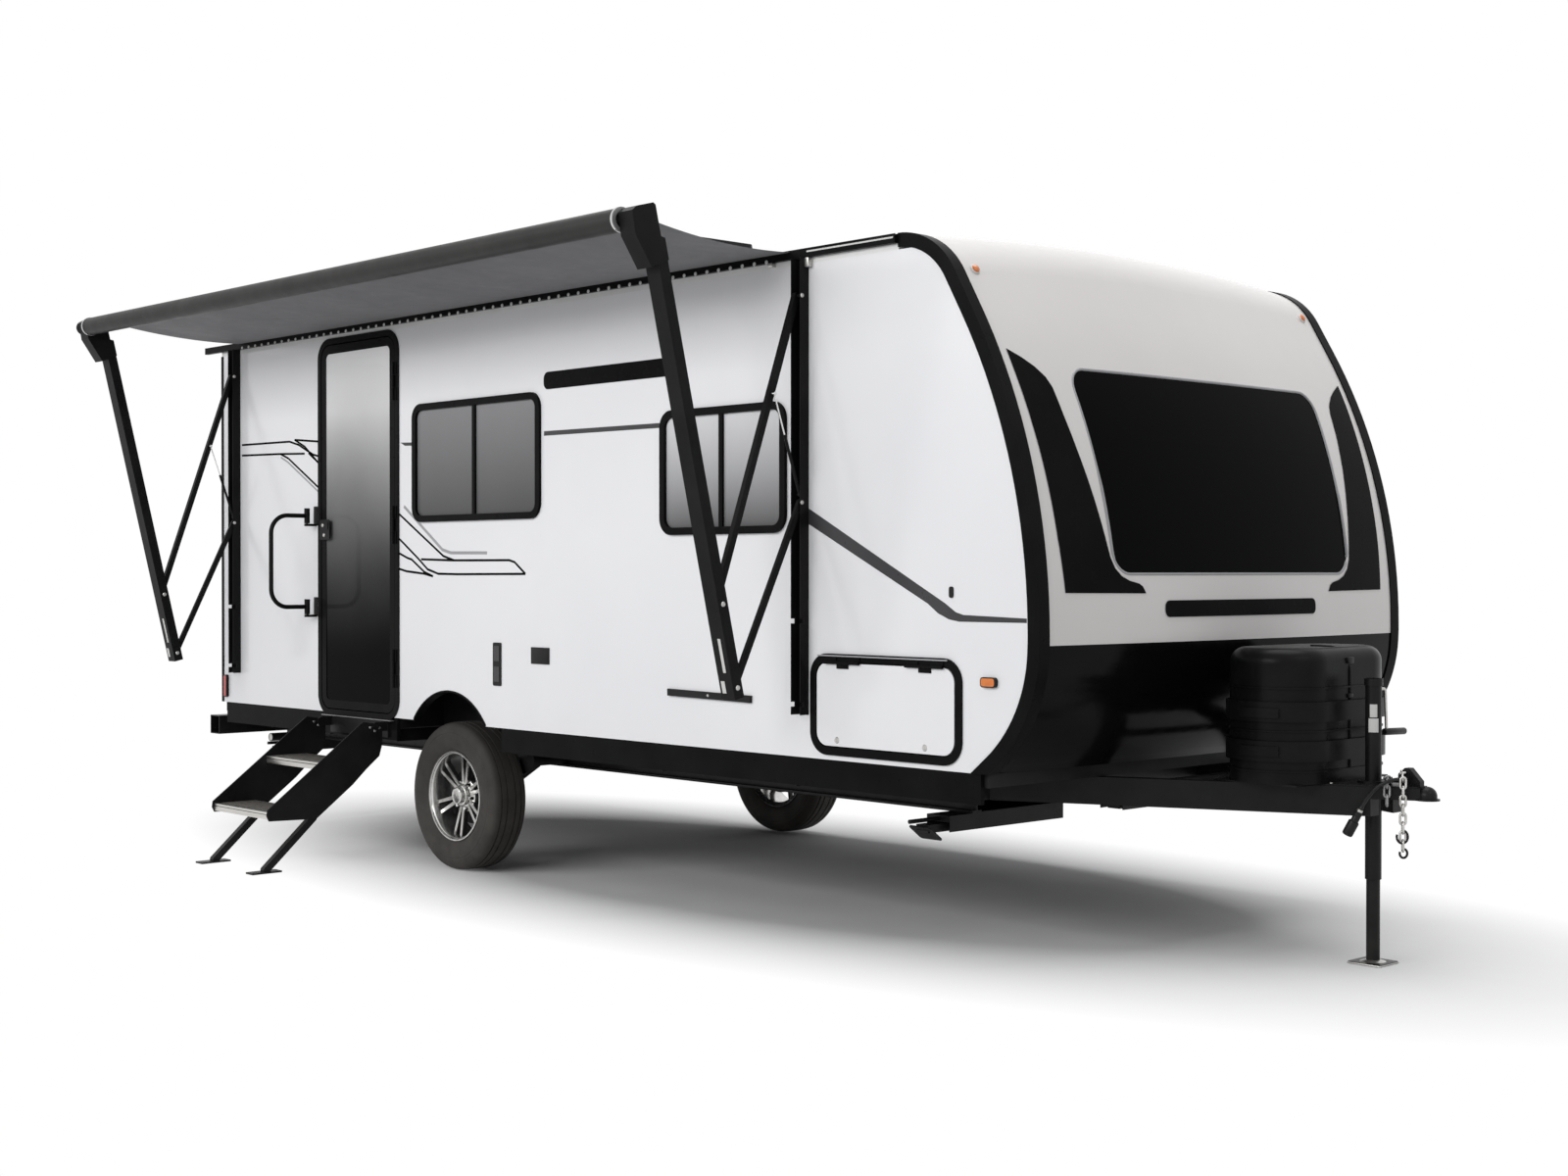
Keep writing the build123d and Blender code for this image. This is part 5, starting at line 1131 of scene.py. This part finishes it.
# Painted highlight: a pale strip on the gutter edge near the front stands in for light caught there.
gutter_highlight = bmesh.new()
block(gutter_highlight, (-1.9, -1.1684, 1.9795), (-1.45, -1.1672, 1.9855))
finish_piece("gutter_painted_highlight", gutter_highlight, "trailer", pale_label_and_highlight)
end_drum = [(0, 0.030), (0, 0.0452), (0.014, 0.0452), (0.014, 0.030), (0, 0.030)]
end_band = [(0.004, 0.0450), (0.004, 0.0459), (0.009, 0.0459), (0.009, 0.0450)]
end_disc = [(0, 0.0), (0, 0.034), (0.0025, 0.033), (0.0025, 0.0)]
drums, drum_bands = bmesh.new(), bmesh.new()
for inner, way in ((-1.9925, 1), (-6.2675, -1)):
    start = Vector((inner, roller_y, roller_z))
    absorb(drums, lathe(end_drum, start, (way, 0, 0)))
    absorb(drum_bands, lathe(end_band, start, (way, 0, 0)))
absorb(drum_bands, lathe(end_disc, Vector((-6.363, roller_y, roller_z)), (-1, 0, 0)))
finish_piece("roller_end_drums", drums, "awning_arm_frame", grey_plate_and_chain_shade)
finish_piece("roller_end_bands", drum_bands, "awning_arm_frame", rod_chrome)
heel_middle = Vector((0, -1.512, 0.356))
arm_up = (Vector((0, -1.583, 0.662)) - heel_middle).normalized()
arm_out = Vector((1, 0, 0)).cross(arm_up)
arm_bolts, arm_strips = bmesh.new(), bmesh.new()
for arm_x in arm_xs:
    for along in (0.0, 0.3141):
        place = heel_middle + arm_up * along
        stud(arm_bolts, (arm_x + 0.036, place.y, place.z), (1, 0, 0), 0.010, 0.003)
    for low, high, middle, half in ((0.062, 0.190, 0.006, 0.0075), (-0.016, 0.030, -0.014, 0.010)):
        corners = ((-half, low), (half, low), (half, high), (-half, high))
        rings = []
        for lift in (0.0241, 0.0252):
            base = heel_middle + arm_out * lift
            rings.append(
                [base + Vector((arm_x + middle + edge, 0, 0)) + arm_up * along for edge, along in corners]
            )
        prism(arm_strips, *rings)
finish_piece("awning_arm_bolts", arm_bolts, "awning_arm_frame", zinc_plate)
finish_piece("awning_arm_strips", arm_strips, "awning_arm_frame", pale_label_and_highlight)

# ---------------------------------------------------------------- entry steps
grip_ends = (-5.355, -4.855)
tread_ends = (-5.3645, -4.8455)


def tread_bar(shape, ends, outer, inner, low, high, bevel=0.0):
    """A bar along a tread, between two places across it and two heights."""
    block(shape, (ends[0], outer, low), (ends[1], inner, high), bevel)


tread_grips, tread_grooves, step_bolts = bmesh.new(), bmesh.new(), bmesh.new()
for edge_y, top_z in ((-1.785, -0.331), (-1.507, -0.120)):
    tread_bar(tread_grips, grip_ends, edge_y + 0.034, edge_y + 0.200, top_z - 0.001, top_z + 0.0012, 0.0005)
    for back in (edge_y + 0.012, edge_y + 0.026):
        tread_bar(tread_grooves, tread_ends, back, back + 0.004, top_z - 0.001, top_z + 0.0004)
    tread_bar(tread_grooves, tread_ends, edge_y - 0.0004, edge_y + 0.001, top_z - 0.013, top_z - 0.010)
for edge_x, way in ((-4.84, 1), (-5.37, -1)):
    for y, z in ((-1.197, 0.030), (-1.222, 0.016), (-1.247, 0.034)):
        stud(step_bolts, (edge_x, y, z), (way, 0, 0), 0.0065, 0.003)
        stud(step_bolts, (edge_x - way * 0.005, y, z), (-way, 0, 0), 0.0065, 0.003)
finish_piece("tread_grips", tread_grips, "entry_steps", grip_strip)
finish_piece("tread_grooves", tread_grooves, "entry_steps", rim_pocket)
finish_piece("step_bolts", step_bolts, "entry_steps", zinc_plate)

# ---------------------------------------------------------------- tongue jack
jack_x = -0.21
plate_top = -0.6035  # of the jack's foot plate
crank = bmesh.new()
crank_path = bent_path(
    [(jack_x, 0.020, 0.364), (jack_x, 0.078, 0.362), (jack_x, 0.086, 0.214), (jack_x, 0.098, 0.207)], 0.014
)
tube(crank, crank_path, 0.0055, 14)
finish_piece("jack_crank", crank, "trailer", zinc_plate)
grip_outline = [(0, 0.0), (0, 0.010), (0.004, 0.0125), (0.135, 0.0125), (0.139, 0.010), (0.139, 0.0)]
crank_grip = lathe(grip_outline, Vector((jack_x, 0.070, 0.2085)), (0, 1, -0.03), 28)
finish_piece("jack_crank_grip", crank_grip, "trailer", plug_moulding)
jack_labels = bmesh.new()
facing = atan2(-0.858, 0.513)
for low, high, half_turn in ((0.265, 0.311, 0.45), (0.212, 0.261, 0.62)):
    turns = [facing + half_turn * (step / 4 - 1) for step in range(9)]
    near = [(jack_x + 0.0286 * cos(turn), 0.0286 * sin(turn)) for turn in turns]
    far = [(jack_x + 0.0291 * cos(turn), 0.0291 * sin(turn)) for turn in turns]
    outline = near + far[::-1]
    prism(jack_labels, [(x, y, low) for x, y in outline], [(x, y, high) for x, y in outline])
finish_piece("jack_labels_blank", jack_labels, "trailer", pale_label_and_highlight)
lid_outline = [(-0.012, 0.0287), (-0.012, 0.0300), (0.0, 0.0300), (0.002, 0.0290), (0.002, 0.0)]
jack_cap = lathe(lid_outline, Vector((jack_x, 0, 0.400)), (0, 0, 1))
finish_piece("jack_cap", jack_cap, "trailer", step_paint)
foot = bmesh.new()
block(foot, (-0.2755, -0.0655, -0.6099), (-0.1445, 0.0655, plate_top), 0.002)
collar = [(0.0, 0.0500), (0.002, 0.0440), (0.005, 0.0340), (0.0075, 0.0285), (0.0075, 0.0242), (0, 0.0242)]
absorb(foot, lathe(collar, Vector((jack_x, 0, plate_top)), (0, 0, 1), 40))
finish_piece("jack_foot_plate", foot, "jack_inner", zinc_plate)

# ---------------------------------------------------------------- safety chains
chain_pitch = 0.031
chain_wire = 0.0042  # radius
link_width = 0.0275
link_end = link_width / 2 - chain_wire  # radius of a link's round ends
link_straight = chain_pitch / 2 + chain_wire - link_width / 2 + chain_wire


def chain(name, hang, finish):
    """Oval links along a hanging line, each a quarter turned from the one before."""
    hang = [Vector(point) for point in hang]
    runs = [(after - before).length for before, after in zip(hang, hang[1:])]
    shape = bmesh.new()
    for number in range(int(sum(runs) / chain_pitch)):
        left, run = (number + 0.5) * chain_pitch, 0
        while run < len(runs) - 1 and left > runs[run]:
            left -= runs[run]
            run += 1
        way = (hang[run + 1] - hang[run]).normalized()
        middle = hang[run] + way * left
        side = way.cross(Vector((0.75, 0.62, 0.22))).normalized()
        if number % 2:
            side = way.cross(side)
        loop = []
        for step in range(20):
            turn = 2 * pi * (step + 0.5) / 20
            reach = link_end * sin(turn) + link_straight * (1 if sin(turn) > 0 else -1)
            loop.append(middle + side * (link_end * cos(turn)) + way * reach)
        tube(shape, loop, chain_wire, 8, closed=True)
    finish_piece(name, shape, "trailer", finish, 60)


front_hang = [
    (-0.128, 0.052, 0.046), (-0.098, 0.0, 0.071), (-0.07, -0.045, 0.078), (-0.048, -0.078, 0.052),
    (-0.046, -0.082, 0.0), (-0.046, -0.082, -0.215),
]
rear_hang = [
    (-0.13, -0.02, 0.040), (-0.118, -0.062, 0.058), (-0.102, -0.092, 0.036), (-0.100, -0.096, 0.0),
    (-0.100, -0.096, -0.06),
]
chain("safety_chain_front", front_hang, zinc_plate)
# Painted shade: the rear chain is the same zinc chain as the front one, given a darker grey finish because it
# hangs in shadow.
chain("safety_chain_rear", rear_hang, grey_plate_and_chain_shade)
hooks = bmesh.new()
for x, y, z, size in ((-0.046, -0.086, -0.138, 0.019), (-0.046, -0.078, -0.196, 0.013)):
    loop = []
    for step in range(15):
        turn = radians(-200 + 290 * step / 14)
        loop.append((x + size * cos(turn) * 0.75, y + size * cos(turn) * 0.65, z + size * 1.2 * sin(turn)))
    tube(hooks, loop, chain_wire, 10)
finish_piece("safety_hooks", hooks, "trailer", step_paint)

# ---------------------------------------------------------------- gas bottle cover
cover_x = -0.485  # middle line of the cover
cover_end_y = 0.15  # ends of that line, each side


def cover_band(shape, low, high, push, more_cuts=()):
    """A raised band round the cover, cut from its own outer skin."""
    skin = bmesh.new()
    skin.from_mesh(nodes["gas_bottle_cover"].data)
    bmesh.ops.remove_doubles(skin, verts=skin.verts, dist=1e-6)
    for place, normal in (((0, 0, low), (0, 0, -1)), ((0, 0, high), (0, 0, 1)), *more_cuts):
        cut(skin, place, normal, clear_outer=True)
    inside = []
    for face in skin.faces:
        centre = face.calc_center_median()
        nearest = Vector((cover_x, min(max(centre.y, -cover_end_y), cover_end_y), centre.z))
        if (centre - nearest).dot(face.normal) < 0:
            inside.append(face)
    bmesh.ops.delete(skin, geom=inside, context="FACES")
    skin.normal_update()
    for corner in skin.verts:
        corner.co += corner.normal * push
    bmesh.ops.recalc_face_normals(skin, faces=skin.faces)
    bmesh.ops.solidify(skin, geom=skin.faces, thickness=-push)
    absorb(shape, skin)


cover_bands = bmesh.new()
for low, high in ((0.367, 0.373), (0.252, 0.322), (0.216, 0.221), (0.112, 0.184), (0.074, 0.080)):
    cover_band(cover_bands, low, high, 0.007 if high - low > 0.02 else 0.003)
finish_piece("cover_bands", cover_bands, "trailer", cover_black, 40)
cover_panels = bmesh.new()
panel_front, panel_back = -0.395, -0.53
panel_side = 0.2
for low, high in ((0.266, 0.300), (0.132, 0.166)):
    for side in (-1, 1):
        limits = [
            ((panel_front, 0, 0), (1, 0, 0)),
            ((panel_back, 0, 0), (-1, 0, 0)),
            ((0, side * panel_side, 0), (0, -side, 0)),
        ]
        cover_band(cover_panels, low, high, 0.0115, limits)
finish_piece("cover_panels", cover_panels, "trailer", cover_black, 40)
strap = bmesh.new()
strap_corners = [
    (-0.2965, -0.01, 0.075), (-0.2965, -0.01, 0.4525), (-0.352, -0.01, 0.5115), (-0.46, -0.01, 0.5125),
]
strap_path = bent_path(strap_corners, 0.03)
for before, after in zip(strap_path, strap_path[1:]):
    tube(strap, [before, after], 0.0032, 8)
block(strap, (-0.302, -0.028, 0.452), (-0.292, 0.008, 0.475), 0.002)
block(strap, (-0.302, -0.026, 0.330), (-0.2935, 0.006, 0.345), 0.002)
finish_piece("cover_strap", strap, "trailer", step_paint)

# ---------------------------------------------------------------- frame tube and tongue bolts
tube_outline = [(0, 0.0), (0, 0.0215), (0.130, 0.0215), (0.130, 0.0185), (0.118, 0.0185), (0.118, 0.0)]
end_outline = [(0, 0.0), (0, 0.0182), (0.010, 0.0182), (0.010, 0.0)]
frame_tube = lathe(tube_outline, Vector((-6.0, -1.005, -0.087)), (0, -1, 0), 32)
finish_piece("frame_tube", frame_tube, "trailer", chassis_paint)
tube_end = lathe(end_outline, Vector((-6.0, -1.124, -0.087)), (0, -1, 0), 32)
finish_piece("frame_tube_end", tube_end, "trailer", zinc_plate)
tongue_bolts = bmesh.new()
for x, y in ((-0.36, -0.19), (-0.30, -0.135), (-0.36, 0.19), (-0.30, 0.135)):
    stud(tongue_bolts, (x, y * 0.98, 0.0285), (0, 0, 1), 0.008, 0.006)
finish_piece("tongue_bolts", tongue_bolts, "trailer", zinc_plate)

# ---------------------------------------------------------------- windshield gasket
gasket_foot, gasket_rise = 0.768, 0.74
gasket_flare = 0.034  # how much wider it is at the top, as a share
gasket_step = 0.03
gasket_path = []
for across, up in rounded((-0.752, 0.771), (0.752, 1.505), 0.085, 10):
    share = (up - gasket_foot) / gasket_rise
    gasket_path.append((across * (1.0 + gasket_flare * share), up))
ring_points = []
for index, (across, up) in enumerate(gasket_path):
    after = gasket_path[(index + 1) % len(gasket_path)]
    span = hypot(after[0] - across, after[1] - up)
    count = max(1, int(span / gasket_step))
    for step in range(count):
        share = step / count
        y, z = across + (after[0] - across) * share, up + (after[1] - up) * share
        place, _ = front_of(pane_skin, y, z)
        if place is None:
            place, _ = front_of(cap_skin, y, z)
        if place is not None:
            ring_points.append(place)
gasket = bmesh.new()
tube(gasket, ring_points, 0.006, 8, closed=True)
finish_piece("windshield_gasket", gasket, "trailer", grey_print_and_highlight, 60)

# ---------------------------------------------------------------- floor, light and camera
body_middle = -3.3  # along the body, where the floor and the lights are centred
floor_radius = 22.0
floor_drop = 0.0005  # under the wheels
floor_shape = bmesh.new()
bmesh.ops.create_circle(floor_shape, cap_ends=True, segments=96, radius=floor_radius)
bmesh.ops.translate(floor_shape, vec=(body_middle, 0, ground - floor_drop), verts=floor_shape.verts)
floor_mesh = bpy.data.meshes.new("studio_floor")
floor_shape.to_mesh(floor_mesh)
floor_shape.free()
floor = bpy.data.objects.new("studio_floor", floor_mesh)
bpy.context.scene.collection.objects.link(floor)


def seen_directly(tree):
    """1 where a ray comes from the camera, a reflection or a transmission."""
    rays = tree.nodes.new("ShaderNodeLightPath")
    first = math_node(tree, "MAXIMUM", rays.outputs["Is Camera Ray"], rays.outputs["Is Glossy Ray"])
    return math_node(tree, "MAXIMUM", first, rays.outputs["Is Transmission Ray"])


def vector_math(tree, kind, vector, operand=None):
    node = tree.nodes.new("ShaderNodeVectorMath")
    node.operation = kind
    tree.links.new(vector, node.inputs[0])
    if operand:
        node.inputs[1].default_value = operand
    return node


floor_finish, tree, shader, place = start_finish("floor_finish")
grains = noise(tree, place, 3.0, 4.0)
share = ramp(tree, grains.outputs["Fac"], 0.3, 0.7)
tree.links.new(mix_colour(tree, share, (0.68, 0.68, 0.68), (0.64, 0.64, 0.64)), shader.inputs["Base Color"])
shader.inputs["Roughness"].default_value = 0.9
shader.inputs["Specular IOR Level"].default_value = 0.1
centred = vector_math(tree, "SUBTRACT", place, (body_middle, 0, 0))
squeezed = vector_math(tree, "MULTIPLY", centred.outputs["Vector"], (0.42, 1, 0))
length = vector_math(tree, "LENGTH", squeezed.outputs["Vector"])
away = ramp(tree, length.outputs["Value"], 1.05, 1.9)
fade = math_node(tree, "MULTIPLY", away, seen_directly(tree))
glow = tree.nodes.new("ShaderNodeEmission")
glow.inputs["Strength"].default_value = 1.0
blend = tree.nodes.new("ShaderNodeMixShader")
tree.links.new(fade, blend.inputs["Fac"])
tree.links.new(shader.outputs["BSDF"], blend.inputs[1])
tree.links.new(glow.outputs["Emission"], blend.inputs[2])
tree.links.new(blend.outputs["Shader"], tree.nodes["Material Output"].inputs["Surface"])
floor_mesh.materials.append(floor_finish)

world = bpy.data.worlds.new("studio")
bpy.context.scene.world = world
world.use_nodes = True
tree = world.node_tree
backdrop = tree.nodes.new("ShaderNodeBackground")
backdrop.inputs["Color"].default_value = (1, 1, 1, 1)
backdrop.inputs["Strength"].default_value = 1.0
soft_fill = tree.nodes["Background"]
soft_fill.inputs["Color"].default_value = (0.97, 0.98, 1.0, 1)
soft_fill.inputs["Strength"].default_value = 0.46
mix = tree.nodes.new("ShaderNodeMixShader")
tree.links.new(seen_directly(tree), mix.inputs["Fac"])
tree.links.new(soft_fill.outputs["Background"], mix.inputs[1])
tree.links.new(backdrop.outputs["Background"], mix.inputs[2])
tree.links.new(mix.outputs["Shader"], tree.nodes["World Output"].inputs["Surface"])


def softbox(name, place, target, width, height, power):
    """A wide soft lamp at a place, turned to a target."""
    lamp = bpy.data.lights.new(name, "AREA")
    lamp.shape = "RECTANGLE"
    lamp.size = width
    lamp.size_y = height
    lamp.energy = power
    holder = bpy.data.objects.new(name, lamp)
    holder.location = place
    holder.rotation_euler = (Vector(target) - Vector(place)).to_track_quat("-Z", "Y").to_euler()
    bpy.context.scene.collection.objects.link(holder)


softbox("overhead_light", (body_middle, 0.6, 6.8), (body_middle, 0, 0), 9.0, 4.0, 350)
softbox("side_light", (-3.4, -9.0, 3.9), (-3.4, -1.0, 1.0), 9.0, 2.6, 440)
softbox("nose_light", (5.0, -1.0, 5.6), (-0.9, 0, 1.2), 4.0, 2.5, 40)

camera_data = bpy.data.cameras.new("camera")
camera_data.lens = 46.99
camera_data.sensor_width = 36.0
camera = bpy.data.objects.new("camera", camera_data)
camera.location = (3.667, -6.481, 0.781)
sight = Vector((-0.7309, 0.6824, -0.0081))
camera.rotation_euler = sight.to_track_quat("-Z", "Y").to_euler()
bpy.context.scene.collection.objects.link(camera)
bpy.context.scene.camera = camera
bpy.context.scene.view_settings.view_transform = "Standard"
